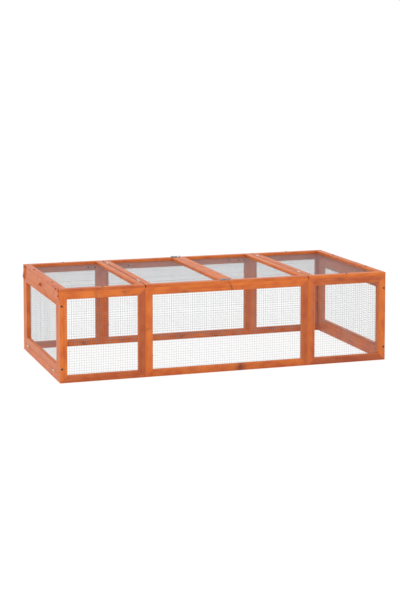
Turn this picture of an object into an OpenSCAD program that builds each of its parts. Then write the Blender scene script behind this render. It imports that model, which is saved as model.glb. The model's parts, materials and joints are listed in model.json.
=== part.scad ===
// Outdoor rabbit run: an open-bottomed timber frame covered in welded wire mesh.
// Three-panel front and back walls, an end with a drop-down door, a fixed end,
// two fixed roof frames and two hinged roof lids that are bolted together.
// X runs along the front, Y to the back, Z up; the origin is the bottom centre.

/* [Run] */
// Overall length along the front
run_length = 1800; // [1600:10:2100]
// Overall width from front to back
run_width = 900; // [760:10:1060]
// Height from the ground to the top of the roof frames
run_height = 480; // [420:5:560]
// Length of each outer wall panel and outer roof frame
side_panel = 450; // [400:5:500]

/* [Timber] */
// Width of every frame member
member_w = 38; // [34:1:44]
// Thickness of the wall and end frames
wall_t = 20; // [18:1:24]
// Thickness of the roof frames
lid_t = 15; // [13:1:18]
// Width of the corner posts in the ends
post_w = 25; // [22:1:30]

/* [Gaps] */
// Seam between neighbouring wall panels
panel_gap = 0.6; // [0.4:0.1:1.5]
// Seam between two leaves of a hinge
hinge_seam = 5; // [4.6:0.2:6.4]
// Seam where the two lids meet
meet_gap = 1.5; // [1:0.5:3]
// Gap round the top and sides of the end door
door_gap = 1.5; // [1:0.5:3]

/* [Mesh] */
// Spacing of the strands that stand for the fine mesh
mesh_pitch = 60; // [50:5:80]
// Width of one strand
strand_w = 2; // [1.4:0.2:3]
// Thickness of the mesh sheet
mesh_t = 1; // [0.8:0.1:1.4]
// How far the mesh laps over the frame members
mesh_lap = 12; // [8:1:16]

/* [Hinges] */
// Length of each butt hinge
hinge_len = 40; // [32:2:50]
// Distance of each hinge's middle from the long side beside it
hinge_inset = 135; // [110:5:170]
// Thickness of a hinge leaf
leaf_t = 1; // [0.8:0.1:1.2]
// Depth of a hinge leaf inside the seam
leaf_depth = 13; // [10:0.5:13]
// Radius of the hinge knuckles
knuckle_r = 2.9; // [2.7:0.1:3.2]
// Radius of the hinge pins
hinge_pin_r = 1.25; // [1:0.05:1.3]
// Length of a pin that shows past each end of its knuckles
pin_proud = 0.6; // [0.4:0.1:1.5]
// Height of a hinge pin above the face of the timber
pin_lift = 2.5; // [2.5:0.1:3.2]

/* [Lid bolts] */
// Width of the bolt's base plate and of its keeper
plate_w = 22; // [22:1:26]
// Thickness of the plates
plate_t = 1.2; // [1:0.1:1.6]
// Radius of the sliding rod
rod_r = 2.6; // [2.4:0.1:3.2]
// Wall of the loops that hold the rod and of the keeper's strap
loop_t = 1.4; // [1.2:0.1:1.6]
// Length of each loop on the base plate
loop_len = 5; // [4:0.5:6]
// Travel of the rod into its keeper
rod_throw = 15; // [13:0.5:17]
// Radius of the rod's thumb knob
knob_r = 2.2; // [1.8:0.1:2.4]
// Height of the thumb knob above the rod
knob_h = 3.5; // [3:0.5:6]
// Length of the keeper's strap along the rod
strap_len = 5; // [4:0.5:6]
// Length of the keeper on the other lid
keeper_len = 15; // [14:0.5:19]
// Gap from the edge of a lid to the bolt's plate and to the keeper's plate
plate_inset = 2; // [1.5:0.5:4]

/* [End hardware] */
// Length of the turn button
button_len = 32; // [26:1:40]
// Width of the turn button
button_w = 18; // [14:1:22]
// Distance of the turn button's screw from the button's near end
button_end = 7; // [6:0.5:9]
// Thickness of the turn button and of the corner ties
button_t = 5; // [4:0.5:7]
// Width of the corner ties
tie_w = 28; // [24:1:30]
// Distance between the two screws of a tie
tie_span = 60; // [54:1:64]
// Length of a tie past its low screw
tie_foot = 18; // [14:1:22]
// Distance of the ties' sawn ends from the front and back of the run
tie_set = 7; // [5:0.5:8]
// Distance of the front tie's low screw from the front of the run
tie_screw_inset = 14; // [12:0.5:16]
// Lean of the front tie from upright, in degrees
front_tie_lean = 62; // [58:1:66]
// Lean of the back tie from upright, in degrees
back_tie_lean = 29; // [26:1:32]

/* [Screws] */
// Radius of the frame screws
screw_r = 2; // [1.6:0.1:2.2]
// Radius of the frame screws' heads
screw_head_r = 5.2; // [4.4:0.1:5.6]
// Length of the screws through the walls
wall_screw_len = 40; // [34:1:42]
// Length of the screws through the roof frames
roof_screw_len = 35; // [30:1:40]
// Length of the screws through the corner ties
tie_screw_len = 22; // [18:1:24]
// Height of the wall screws from the bottom and from the top of the wall
wall_screw_inset = 72; // [60:2:90]
// Length of the screws that join neighbouring wall panels
panel_screw_len = 60; // [50:2:66]
// Height of the panel screws from the bottom and from the top of the wall
panel_screw_inset = 110; // [90:5:140]
// Distance of the end roof screws from the long side beside them
roof_screw_inset = 225; // [190:5:260]
// Distance of the end roof screws from the end beside them
roof_end_inset = 14; // [9:0.5:15]
// Radius of the small screws in hinges, bolts and keepers
small_screw_r = 1.2; // [1:0.1:1.3]
// Radius of the small screws' heads
small_head_r = 2.4; // [2.2:0.1:2.6]
// Length of the small screws
small_screw_len = 11; // [9:0.5:12]

/* [Hidden] */
$fn = 48;
RUNNING = 0.05;      // radial clearance of a pin or rod in its bore
DRILLED = 0.1;       // radial clearance of a screw in its hole
FACE_GAP = 0.3;      // clearance between faces that move past each other
SMALL_HEAD_T = 0.8;  // thickness of a small screw's head
HEAD_T = 2.5;        // thickness of a frame screw's head
BACK_SCREW_LEN = 16; // length of the screws inside the back wall

wall_h = run_height - lid_t;
half_l = run_length / 2;
half_w = run_width / 2;
seam_x = half_l - side_panel;
inner_y = half_w - wall_t;
inner_x = half_l - wall_t;
half_seam = hinge_seam / 2;
post_y = inner_y - post_w;
lid_len = seam_x - half_seam - meet_gap / 2;
fixed_len = side_panel - half_seam;

hinge_y = half_w - hinge_inset;
roof_screw_y = half_w - roof_screw_inset;

// The drop-down door in the left end
door_half = post_y - door_gap;
door_low = member_w + hinge_seam;
door_top = wall_h - member_w - door_gap;
door_h = door_top - door_low;
end_hinge_z = member_w + half_seam;

// The right end has boards as wide as the left end's rail and door member together
board_h = 2 * member_w;
end_stile_w = post_w + member_w;

// Lid bolts lie along the middle of the front and back lid rails
bolt_y = half_w - (member_w / 2);
rod_z = run_height + plate_t + rod_r + FACE_GAP;
loop_r = rod_r + RUNNING + loop_t;
loop_inset = 3;
knob_gap = 0.8;
plate_len = 2 * (loop_inset + loop_len + knob_gap + knob_r) + rod_throw;
plate_end = -meet_gap / 2 - plate_inset;
plate_start = plate_end - plate_len;
rod_start = plate_start - 2;
rod_end = -meet_gap / 2 - 0.5;
knob_x = plate_start + loop_inset + loop_len + knob_gap + knob_r;
keeper_start = meet_gap / 2 + plate_inset;
strap_x = rod_end + rod_throw - strap_len - 1;
strap_half = rod_r + FACE_GAP;

// Screw positions
wall_screw_x = half_l - wall_t / 2;
wall_screw_zs = [wall_screw_inset, wall_h - wall_screw_inset];
panel_screw_zs = [panel_screw_inset, wall_h - panel_screw_inset];
side_mid_x = half_l - side_panel / 2;
back_screw_z = wall_h - member_w / 2;
back_screw_xs = concat(
    [for (d = [-80, -40, 155]) -seam_x + d],
    [for (d = [-135, -75, -40]) seam_x + d]);
hinge_screw_ys = [-hinge_len * 0.3, hinge_len * 0.3];
plate_screw_xs = [for (d = [5, 16.5]) plate_start + d];
plate_screw_dy = plate_w / 2 - small_head_r - 1;

// Turn button and ties on the left end
button_y = -5;
button_z = wall_h - member_w + button_w / 2;
tie_end = 6;
tie_clear = 2;
tie_top_z = run_height - lid_t / 2;
front_low = [tie_screw_inset - half_w, tie_top_z - tie_span * cos(front_tie_lean)];
front_top = [front_low[0] + tie_span * sin(front_tie_lean), tie_top_z];
back_top_y = door_half + (tie_w / 2 + tie_clear - (tie_top_z - door_top) * sin(back_tie_lean))
    / cos(back_tie_lean);
back_top = [back_top_y, tie_top_z];
back_low = back_top + tie_span * [sin(back_tie_lean), -cos(back_tie_lean)];

FRONT = -1;
BACK = 1;
LEFT = -1;
CENTRE = 0;
RIGHT = 1;

TIMBER = "#D2703A";
TIMBER_SIDE = "#C4683A";
TIMBER_ROOF = "#DE8F6A";
WIRE = "#B9BDBE";
ZINC = "#BFC8CC";
DARK_STEEL = "#39434A";

// ---- Flat outlines -------------------------------------------------------

// The two upright members of a mitred frame, len wide and h high
module stile_outlines(len, h, w) {
    stile = [[0, 0], [w, w], [w, h - w], [0, h]];
    polygon(stile);
    translate([len, 0]) mirror([1, 0]) polygon(stile);
}

// The two level members of a mitred frame
module rail_outlines(len, h, w) {
    rail = [[0, 0], [len, 0], [len - w, w], [w, w]];
    polygon(rail);
    translate([0, h]) mirror([0, 1]) polygon(rail);
}

// A mesh sheet of len by h with square openings
module mesh_outline(len, h) {
    nx = round(len / mesh_pitch);
    ny = round(h / mesh_pitch);
    step_x = (len - strand_w) / nx;
    step_y = (h - strand_w) / ny;
    difference() {
        square([len, h]);
        for (i = [0:nx - 1], j = [0:ny - 1])
            translate([strand_w + i * step_x, strand_w + j * step_y])
                square([step_x - strand_w, step_y - strand_w]);
    }
}

// A mesh sheet that laps over the opening of a frame of len by h
module lapped_mesh_outline(len, h, side_w, low_w, top_w) {
    translate([side_w - mesh_lap, low_w - mesh_lap])
        mesh_outline(len - 2 * (side_w - mesh_lap), h - low_w - top_w + 2 * mesh_lap);
}

// ---- Placing flat outlines ----------------------------------------------

// Stands an outline up in a long wall: side is FRONT or BACK
module in_wall(side, x) {
    y0 = side == FRONT ? -inner_y : half_w;
    translate([x, y0, 0]) rotate([90, 0, 0]) linear_extrude(wall_t) children();
}

// Lays a mesh sheet against the inner face of a long wall
module on_wall(side, x) {
    y0 = side == FRONT ? -inner_y + mesh_t : inner_y;
    translate([x, y0, 0]) rotate([90, 0, 0]) linear_extrude(mesh_t) children();
}

// Stands an outline up in an end: its first axis is Y, its second is Z
module in_end(x, y, thickness) {
    translate([x, y, 0]) rotate([90, 0, 90]) linear_extrude(thickness) children();
}

// Lays an outline flat with its lower face at height z
module laid(x, z, thickness) {
    translate([x, -half_w, z]) linear_extrude(thickness) children();
}

// ---- Screws --------------------------------------------------------------

// A screw that points down, its head lying on the face at height 0
module screw(r, head_r, head_t, len) {
    cylinder(r = head_r, h = head_t);
    translate([0, 0, -len]) cylinder(r = r, h = len);
}

// The hole that such a screw needs
module screw_hole(r, len) {
    translate([0, 0, -len - DRILLED]) cylinder(r = r + DRILLED, h = len + 1);
}

module frame_screw(len) { screw(screw_r, screw_head_r, HEAD_T, len); }
module frame_screw_hole(len) { screw_hole(screw_r, len); }
module small_screw() { screw(small_screw_r, small_head_r, SMALL_HEAD_T, small_screw_len); }
module small_screw_hole() { screw_hole(small_screw_r, small_screw_len); }

// Places of the screws through the long walls into the ends
module at_wall_screws() {
    for (sx = [-1, 1], side = [FRONT, BACK], z = wall_screw_zs)
        translate([sx * wall_screw_x, side * half_w, z]) rotate([-side * 90, 0, 0]) children();
}

// Places of the screws that run through one panel's stile into the next panel's
module at_panel_screws() {
    for (seam = [-seam_x, seam_x], side = [FRONT, BACK], z = panel_screw_zs)
        translate([seam + panel_gap / 2 + member_w, side * (half_w - wall_t / 2), z])
            rotate([0, 90, 0]) children();
}

// Places of the screws on the inner face of the back wall
module at_back_screws() {
    for (x = back_screw_xs)
        translate([x, inner_y, back_screw_z]) rotate([90, 0, 0]) children();
}

// Places of the screws that hold the two fixed roof frames down
module at_roof_screws() {
    for (sx = [-1, 1], side = [FRONT, BACK]) {
        translate([sx * side_mid_x, side * (half_w - wall_t / 2), run_height]) children();
        translate([sx * (half_l - roof_end_inset), side * roof_screw_y, run_height])
            children();
    }
}

// Places of the corner ties' four screws, on the ties' outer faces
module at_tie_screws() {
    for (p = [front_low, front_top, back_low, back_top])
        translate([-half_l - button_t, p[0], p[1]]) rotate([0, -90, 0]) children();
}

// Place of the turn button's screw
module at_button_screw() {
    translate([-half_l - FACE_GAP - button_t - FACE_GAP, button_y, button_z])
        rotate([0, -90, 0]) children();
}

// ---- Hinges: the pin lies on local Y, the timber face at -pin_lift -------

// Places of the lid hinges on one side: LEFT or RIGHT
module at_lid_hinges(side) {
    for (sy = [-1, 1])
        translate([side * seam_x, sy * hinge_y, run_height + pin_lift])
            mirror([side == RIGHT ? 1 : 0, 0, 0]) children();
}

// Places of the end door's hinges
module at_end_hinges() {
    for (sy = [-1, 1])
        translate([-half_l - pin_lift, sy * hinge_y, end_hinge_z])
            rotate([0, -90, 0]) children();
}

// One leaf: side -1 is screwed to the frame, side 1 to the part that moves
module hinge_leaf(side) {
    third = hinge_len / 3;
    plate_top = sqrt(pow(knuckle_r + FACE_GAP, 2) - pow(half_seam - leaf_t, 2)) + 0.1;
    x0 = side < 0 ? -half_seam : half_seam - leaf_t;
    runs = side < 0 ? [-hinge_len / 2, hinge_len / 2 - third] : [-third / 2];
    run_len = side < 0 ? third : third - 2 * FACE_GAP;
    shift = side < 0 ? 0 : FACE_GAP;
    difference() {
        union() {
            translate([x0, -hinge_len / 2, -pin_lift - leaf_depth])
                cube([leaf_t, hinge_len, pin_lift + leaf_depth - plate_top]);
            for (y = runs) translate([0, y + shift, 0]) {
                rotate([-90, 0, 0]) cylinder(r = knuckle_r, h = run_len);
                translate([x0, 0, -plate_top - 0.5]) cube([leaf_t, run_len, plate_top + 0.5]);
            }
        }
        translate([0, -hinge_len, 0]) rotate([-90, 0, 0])
            cylinder(r = hinge_pin_r + RUNNING, h = 2 * hinge_len);
        at_leaf_screws(side) small_screw_hole();
    }
}

// Places of a leaf's two screws, which enter from the seam
module at_leaf_screws(side) {
    for (y = hinge_screw_ys)
        translate([side * (half_seam - leaf_t), y, -pin_lift - leaf_depth / 2])
            rotate([0, -side * 90, 0]) children();
}

module hinge_pin() {
    len = hinge_len + 2 * pin_proud;
    translate([0, -len / 2, 0]) rotate([-90, 0, 0]) cylinder(r = hinge_pin_r, h = len);
}

// ---- Long walls ----------------------------------------------------------

function panel_len(place) =
    place == CENTRE ? run_length - 2 * side_panel - panel_gap : side_panel - panel_gap / 2;
function panel_x(place) =
    place == LEFT ? -half_l : (place == CENTRE ? -seam_x + panel_gap / 2 : seam_x + panel_gap / 2);

module wall_stiles(side, place) {
    color(TIMBER) difference() {
        in_wall(side, panel_x(place)) stile_outlines(panel_len(place), wall_h, member_w);
        at_wall_screws() frame_screw_hole(wall_screw_len);
        at_panel_screws() frame_screw_hole(panel_screw_len);
        at_tie_screws() frame_screw_hole(tie_screw_len);
        if (side == BACK) at_back_screws() frame_screw_hole(BACK_SCREW_LEN);
    }
}

module wall_rails(side, place) {
    color(TIMBER) difference() {
        in_wall(side, panel_x(place)) rail_outlines(panel_len(place), wall_h, member_w);
        at_roof_screws() frame_screw_hole(roof_screw_len);
        at_tie_screws() frame_screw_hole(tie_screw_len);
        if (side == BACK) at_back_screws() frame_screw_hole(BACK_SCREW_LEN);
    }
}

module wall_mesh(side, place) {
    color(WIRE) on_wall(side, panel_x(place))
        lapped_mesh_outline(panel_len(place), wall_h, member_w, member_w, member_w);
}

module front_left_stiles() { wall_stiles(FRONT, LEFT); }
module front_left_rails() { wall_rails(FRONT, LEFT); }
module front_left_mesh() { wall_mesh(FRONT, LEFT); }
module front_centre_stiles() { wall_stiles(FRONT, CENTRE); }
module front_centre_rails() { wall_rails(FRONT, CENTRE); }
module front_centre_mesh() { wall_mesh(FRONT, CENTRE); }
module front_right_stiles() { wall_stiles(FRONT, RIGHT); }
module front_right_rails() { wall_rails(FRONT, RIGHT); }
module front_right_mesh() { wall_mesh(FRONT, RIGHT); }
module back_left_stiles() { wall_stiles(BACK, LEFT); }
module back_left_rails() { wall_rails(BACK, LEFT); }
module back_left_mesh() { wall_mesh(BACK, LEFT); }
module back_centre_stiles() { wall_stiles(BACK, CENTRE); }
module back_centre_rails() { wall_rails(BACK, CENTRE); }
module back_centre_mesh() { wall_mesh(BACK, CENTRE); }
module back_right_stiles() { wall_stiles(BACK, RIGHT); }
module back_right_rails() { wall_rails(BACK, RIGHT); }
module back_right_mesh() { wall_mesh(BACK, RIGHT); }

// ---- Left end: posts, rails and the drop-down door -----------------------

module left_end_posts() {
    color(TIMBER_SIDE) difference() {
        in_end(-half_l, 0, wall_t) for (s = [-1, 1])
            translate([s < 0 ? -inner_y : post_y, 0]) square([post_w, wall_h]);
        at_wall_screws() frame_screw_hole(wall_screw_len);
        at_tie_screws() frame_screw_hole(tie_screw_len);
    }
}

module left_end_rails() {
    color(TIMBER_SIDE) difference() {
        in_end(-half_l, -post_y, wall_t) for (z = [0, wall_h - member_w])
            translate([0, z]) square([2 * post_y, member_w]);
        at_roof_screws() frame_screw_hole(roof_screw_len);
        at_button_screw() frame_screw_hole(wall_t);
        at_end_hinges() at_leaf_screws(-1) small_screw_hole();
    }
}

module end_door_stiles() {
    color(TIMBER_SIDE) in_end(-half_l, -door_half, wall_t) translate([0, door_low])
        stile_outlines(2 * door_half, door_h, member_w);
}

module end_door_rails() {
    color(TIMBER_SIDE) difference() {
        in_end(-half_l, -door_half, wall_t) translate([0, door_low])
            rail_outlines(2 * door_half, door_h, member_w);
        at_end_hinges() at_leaf_screws(1) small_screw_hole();
    }
}

module end_door_mesh() {
    color(WIRE) in_end(-inner_x, -door_half, mesh_t) translate([0, door_low])
        lapped_mesh_outline(2 * door_half, door_h, member_w, member_w, member_w);
}

module end_hinge_frame_leaves() { color(ZINC) at_end_hinges() hinge_leaf(-1); }
module end_hinge_door_leaves() { color(ZINC) at_end_hinges() hinge_leaf(1); }
module end_hinge_pins() { color(ZINC) at_end_hinges() hinge_pin(); }
module end_door_screws() { color(ZINC) at_end_hinges() at_leaf_screws(1) small_screw(); }

// ---- Right end -----------------------------------------------------------

module right_end_stiles() {
    color(TIMBER_SIDE) difference() {
        in_end(inner_x, 0, wall_t) for (s = [-1, 1])
            translate([s < 0 ? -inner_y : inner_y - end_stile_w, 0])
                square([end_stile_w, wall_h]);
        at_wall_screws() frame_screw_hole(wall_screw_len);
    }
}

module right_end_rails() {
    half = inner_y - end_stile_w;
    color(TIMBER_SIDE) difference() {
        in_end(inner_x, -half, wall_t) for (z = [0, wall_h - board_h])
            translate([0, z]) square([2 * half, board_h]);
        at_roof_screws() frame_screw_hole(roof_screw_len);
    }
}

module right_end_mesh() {
    color(WIRE) in_end(inner_x - mesh_t, -inner_y, mesh_t)
        lapped_mesh_outline(2 * inner_y, wall_h, end_stile_w, board_h, board_h);
}

// ---- Roof frames and lids ------------------------------------------------

function roof_x(name) =
    name == "roof_left" ? -half_l : (name == "lid_left" ? -seam_x + half_seam :
    (name == "lid_right" ? meet_gap / 2 : seam_x + half_seam));
function roof_len(name) = name == "lid_left" || name == "lid_right" ? lid_len : fixed_len;

// The seam side of the leaf that holds this frame: -1 frame, 1 lid
function leaf_side(name) = name == "lid_left" || name == "lid_right" ? 1 : -1;

module roof_stiles(name) {
    color(TIMBER_ROOF) difference() {
        laid(roof_x(name), wall_h, lid_t) stile_outlines(roof_len(name), run_width, member_w);
        at_roof_screws() frame_screw_hole(roof_screw_len);
        if (name == "roof_left") at_tie_screws() frame_screw_hole(tie_screw_len);
        for (side = [LEFT, RIGHT])
            at_lid_hinges(side) at_leaf_screws(leaf_side(name)) small_screw_hole();
        at_plate_screws() small_screw_hole();
        at_keeper_screws() small_screw_hole();
    }
}

module roof_rails(name) {
    color(TIMBER_ROOF) difference() {
        laid(roof_x(name), wall_h, lid_t) rail_outlines(roof_len(name), run_width, member_w);
        at_roof_screws() frame_screw_hole(roof_screw_len);
        at_plate_screws() small_screw_hole();
        at_keeper_screws() small_screw_hole();
    }
}

module roof_mesh(name) {
    color(WIRE) laid(roof_x(name), wall_h - mesh_t, mesh_t)
        lapped_mesh_outline(roof_len(name), run_width, member_w, member_w, member_w);
}

module roof_left_stiles() { roof_stiles("roof_left"); }
module roof_left_rails() { roof_rails("roof_left"); }
module roof_left_mesh() { roof_mesh("roof_left"); }
module lid_left_stiles() { roof_stiles("lid_left"); }
module lid_left_rails() { roof_rails("lid_left"); }
module lid_left_mesh() { roof_mesh("lid_left"); }
module lid_right_stiles() { roof_stiles("lid_right"); }
module lid_right_rails() { roof_rails("lid_right"); }
module lid_right_mesh() { roof_mesh("lid_right"); }
module roof_right_stiles() { roof_stiles("roof_right"); }
module roof_right_rails() { roof_rails("roof_right"); }
module roof_right_mesh() { roof_mesh("roof_right"); }

module lid_hinge_frame_leaves() {
    color(ZINC) for (side = [LEFT, RIGHT]) at_lid_hinges(side) hinge_leaf(-1);
}
module lid_hinge_pins() {
    color(ZINC) for (side = [LEFT, RIGHT]) at_lid_hinges(side) hinge_pin();
}
module lid_left_hinge_leaves() { color(ZINC) at_lid_hinges(LEFT) hinge_leaf(1); }
module lid_right_hinge_leaves() { color(ZINC) at_lid_hinges(RIGHT) hinge_leaf(1); }

// ---- Lid bolts -----------------------------------------------------------

// Places of the two bolts, front and back
module at_bolts() {
    for (side = [FRONT, BACK]) translate([0, side * bolt_y, 0]) children();
}

module at_plate_screws() {
    at_bolts() for (x = plate_screw_xs, sy = [-1, 1])
        translate([x, sy * plate_screw_dy, run_height + plate_t]) children();
}

module at_keeper_screws() {
    at_bolts() for (sy = [-1, 1])
        translate([strap_x + strap_len / 2, sy * plate_screw_dy, run_height + plate_t])
            children();
}

// A round loop on the base plate that the rod slides in, from x along loop_len
module rod_loop(x) {
    translate([x, 0, 0]) {
        translate([0, 0, rod_z]) rotate([0, 90, 0]) cylinder(r = loop_r, h = loop_len);
        translate([0, -loop_r, run_height]) cube([loop_len, 2 * loop_r, rod_z - run_height]);
    }
}

// The keeper's square strap, which the rod enters
module keeper_strap() {
    outer = strap_half + loop_t;
    difference() {
        translate([strap_x, -outer, run_height])
            cube([strap_len, 2 * outer, rod_z + outer - run_height]);
        translate([strap_x - 1, -strap_half, run_height + plate_t])
            cube([strap_len + 2, 2 * strap_half, rod_z + strap_half - run_height - plate_t]);
    }
}

module bolt_plates() {
    color(ZINC) difference() {
        at_bolts() {
            translate([plate_start, -plate_w / 2, run_height])
                cube([plate_len, plate_w, plate_t]);
            rod_loop(plate_start + loop_inset);
            rod_loop(plate_end - loop_inset - loop_len);
        }
        at_bolts() translate([plate_start - 1, 0, rod_z]) rotate([0, 90, 0])
            cylinder(r = rod_r + RUNNING, h = plate_len + 2);
        at_plate_screws() small_screw_hole();
    }
}

module bolt_keepers() {
    color(ZINC) difference() {
        at_bolts() {
            translate([keeper_start, -plate_w / 2, run_height])
                cube([keeper_len, plate_w, plate_t]);
            keeper_strap();
        }
        at_keeper_screws() small_screw_hole();
    }
}

module bolt_rod() {
    translate([rod_start, 0, rod_z]) rotate([0, 90, 0])
        cylinder(r = rod_r, h = rod_end - rod_start);
    translate([knob_x, 0, rod_z]) cylinder(r = knob_r, h = rod_r + knob_h);
}

module front_bolt_rod() { color(ZINC) translate([0, FRONT * bolt_y, 0]) bolt_rod(); }
module back_bolt_rod() { color(ZINC) translate([0, BACK * bolt_y, 0]) bolt_rod(); }

// ---- Left end hardware ---------------------------------------------------

module end_button() {
    color(TIMBER) translate([-half_l - FACE_GAP, button_y, button_z]) rotate([0, -90, 0])
        difference() {
            translate([-button_w / 2, -button_end, 0]) cube([button_w, button_len, button_t]);
            translate([0, 0, -1]) cylinder(r = screw_r + RUNNING, h = button_t + 2);
        }
}

// One tie from its top screw to its low screw, sawn off level with the roof's top
// and upright beside the corner of the run
module corner_tie(top, low) {
    lean = atan2(low[0] - top[0], top[1] - low[1]);
    translate([-half_l - button_t, 0, 0]) rotate([90, 0, 90]) linear_extrude(button_t)
        intersection() {
            translate(top) rotate(lean) translate([-tie_w / 2, -tie_span - tie_foot])
                square([tie_w, tie_foot + tie_span + tie_end]);
            translate([tie_set - half_w, 0]) square([run_width - 2 * tie_set, run_height]);
        }
}

module corner_ties() {
    color(TIMBER) difference() {
        union() {
            corner_tie(front_top, front_low);
            corner_tie(back_top, back_low);
        }
        at_tie_screws() frame_screw_hole(tie_screw_len);
    }
}

// ---- Groups of screws ----------------------------------------------------

module wall_screws() {
    color(DARK_STEEL) {
        at_wall_screws() frame_screw(wall_screw_len);
        at_back_screws() frame_screw(BACK_SCREW_LEN);
    }
}
module panel_screws() { color(DARK_STEEL) at_panel_screws() frame_screw(panel_screw_len); }
module roof_screws() { color(DARK_STEEL) at_roof_screws() frame_screw(roof_screw_len); }
module end_hardware_screws() {
    color(DARK_STEEL) {
        at_tie_screws() frame_screw(tie_screw_len);
        at_button_screw() frame_screw(wall_t);
    }
}
module frame_hinge_screws() {
    color(ZINC) {
        for (side = [LEFT, RIGHT]) at_lid_hinges(side) at_leaf_screws(-1) small_screw();
        at_end_hinges() at_leaf_screws(-1) small_screw();
    }
}
module lid_left_screws() {
    color(DARK_STEEL) {
        at_lid_hinges(LEFT) at_leaf_screws(1) small_screw();
        at_plate_screws() small_screw();
    }
}
module lid_right_screws() {
    color(DARK_STEEL) {
        at_lid_hinges(RIGHT) at_leaf_screws(1) small_screw();
        at_keeper_screws() small_screw();
    }
}

// ---- The whole run -------------------------------------------------------

front_left_stiles();
front_left_rails();
front_left_mesh();
front_centre_stiles();
front_centre_rails();
front_centre_mesh();
front_right_stiles();
front_right_rails();
front_right_mesh();
back_left_stiles();
back_left_rails();
back_left_mesh();
back_centre_stiles();
back_centre_rails();
back_centre_mesh();
back_right_stiles();
back_right_rails();
back_right_mesh();
left_end_posts();
left_end_rails();
end_door_stiles();
end_door_rails();
end_door_mesh();
right_end_stiles();
right_end_rails();
right_end_mesh();
roof_left_stiles();
roof_left_rails();
roof_left_mesh();
lid_left_stiles();
lid_left_rails();
lid_left_mesh();
lid_right_stiles();
lid_right_rails();
lid_right_mesh();
roof_right_stiles();
roof_right_rails();
roof_right_mesh();
lid_hinge_frame_leaves();
lid_hinge_pins();
lid_left_hinge_leaves();
lid_right_hinge_leaves();
end_hinge_frame_leaves();
end_hinge_door_leaves();
end_hinge_pins();
bolt_plates();
bolt_keepers();
front_bolt_rod();
back_bolt_rod();
end_button();
corner_ties();
wall_screws();
panel_screws();
roof_screws();
end_hardware_screws();
frame_hinge_screws();
lid_left_screws();
lid_right_screws();
end_door_screws();
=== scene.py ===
"""The looks of an outdoor rabbit run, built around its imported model.

Every piece of timber is cut again with eased edges and its own grain, the nets are
woven from single wires, and the hinges, bolts, ties and screws get their real forms.
X runs along the front, Y to the back, Z up, in metres.
"""

import json
import logging
import math
import random
from collections.abc import Callable, Iterable, Sequence
from dataclasses import dataclass
from enum import Enum
from typing import Any

import bmesh
import bpy
import numpy as np
from mathutils import Matrix, Vector

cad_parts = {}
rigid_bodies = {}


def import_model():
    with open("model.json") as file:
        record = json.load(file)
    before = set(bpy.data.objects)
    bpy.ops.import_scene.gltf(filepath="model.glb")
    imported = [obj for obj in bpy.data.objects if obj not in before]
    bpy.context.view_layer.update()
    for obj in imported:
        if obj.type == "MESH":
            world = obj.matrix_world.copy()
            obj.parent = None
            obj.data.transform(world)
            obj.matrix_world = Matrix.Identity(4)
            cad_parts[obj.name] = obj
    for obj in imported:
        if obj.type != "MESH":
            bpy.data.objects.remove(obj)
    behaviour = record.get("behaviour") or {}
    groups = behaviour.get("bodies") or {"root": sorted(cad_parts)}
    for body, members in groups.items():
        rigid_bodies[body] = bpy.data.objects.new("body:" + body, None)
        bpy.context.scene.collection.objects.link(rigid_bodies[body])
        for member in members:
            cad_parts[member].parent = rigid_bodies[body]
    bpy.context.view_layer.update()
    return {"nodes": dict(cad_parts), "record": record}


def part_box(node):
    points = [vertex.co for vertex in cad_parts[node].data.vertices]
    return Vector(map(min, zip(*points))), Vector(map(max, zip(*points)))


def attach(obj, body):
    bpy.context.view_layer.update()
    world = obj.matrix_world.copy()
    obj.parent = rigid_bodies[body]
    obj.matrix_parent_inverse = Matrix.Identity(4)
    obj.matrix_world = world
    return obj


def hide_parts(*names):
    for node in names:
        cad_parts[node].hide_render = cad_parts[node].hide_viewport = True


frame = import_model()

log = logging.getLogger("rabbit_run")

MM = 0.001
HUNDREDTH = 0.01 * MM
X, Y, Z = Vector((1, 0, 0)), Vector((0, 1, 0)), Vector((0, 0, 1))
WHITE = (1.0, 1.0, 1.0)

Pair = tuple[float, float]
Colour = tuple[float, float, float]


class Slot(Enum):
    """The finishes that a piece can have, by their names in the record."""

    TIMBER = "stained_fir"
    WIRE = "welded_wire"
    ZINC = "zinc_hardware"
    DARK = "dark_screws"


# ---- Shader nodes ----------------------------------------------------------------


def operator(operation: str, swapped: bool = False) -> Callable[["Sock", Any], "Sock"]:
    """Makes the method behind one of Python's operators.

    Args:
        operation: what the Math node does.
        swapped: whether the other value comes first.

    Returns:
        The method.
    """

    def method(sock: "Sock", other: "Sock | float") -> "Sock":
        """Adds the Math node."""
        return sock.graph.math(operation, *((other, sock) if swapped else (sock, other)))

    return method


class Sock:
    """An output of a shader node; Python's operators on it add Math nodes."""

    __add__ = __radd__ = operator("ADD")
    __mul__ = __rmul__ = operator("MULTIPLY")
    __sub__, __rsub__ = operator("SUBTRACT"), operator("SUBTRACT", True)
    __truediv__, __rtruediv__ = operator("DIVIDE"), operator("DIVIDE", True)
    __pow__, __rpow__ = operator("POWER"), operator("POWER", True)

    def __init__(self, graph: "Graph", link: bpy.types.NodeSocket) -> None:
        """Wraps one output of a node in the graph."""
        self.graph = graph
        self.link = link

    def rise(self, start: float, end: float) -> "Sock":
        """Goes smoothly from 0 to 1 as this output goes from start to end.

        Args:
            start: the value that gives 0.
            end: the value that gives 1; below start, the change is a fall.

        Returns:
            The smoothed output.
        """
        settings = {"interpolation_type": "SMOOTHSTEP"}
        values = {"Value": self, "From Min": start, "From Max": end}
        return self.graph.add("MapRange", "Result", settings, values)


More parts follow.
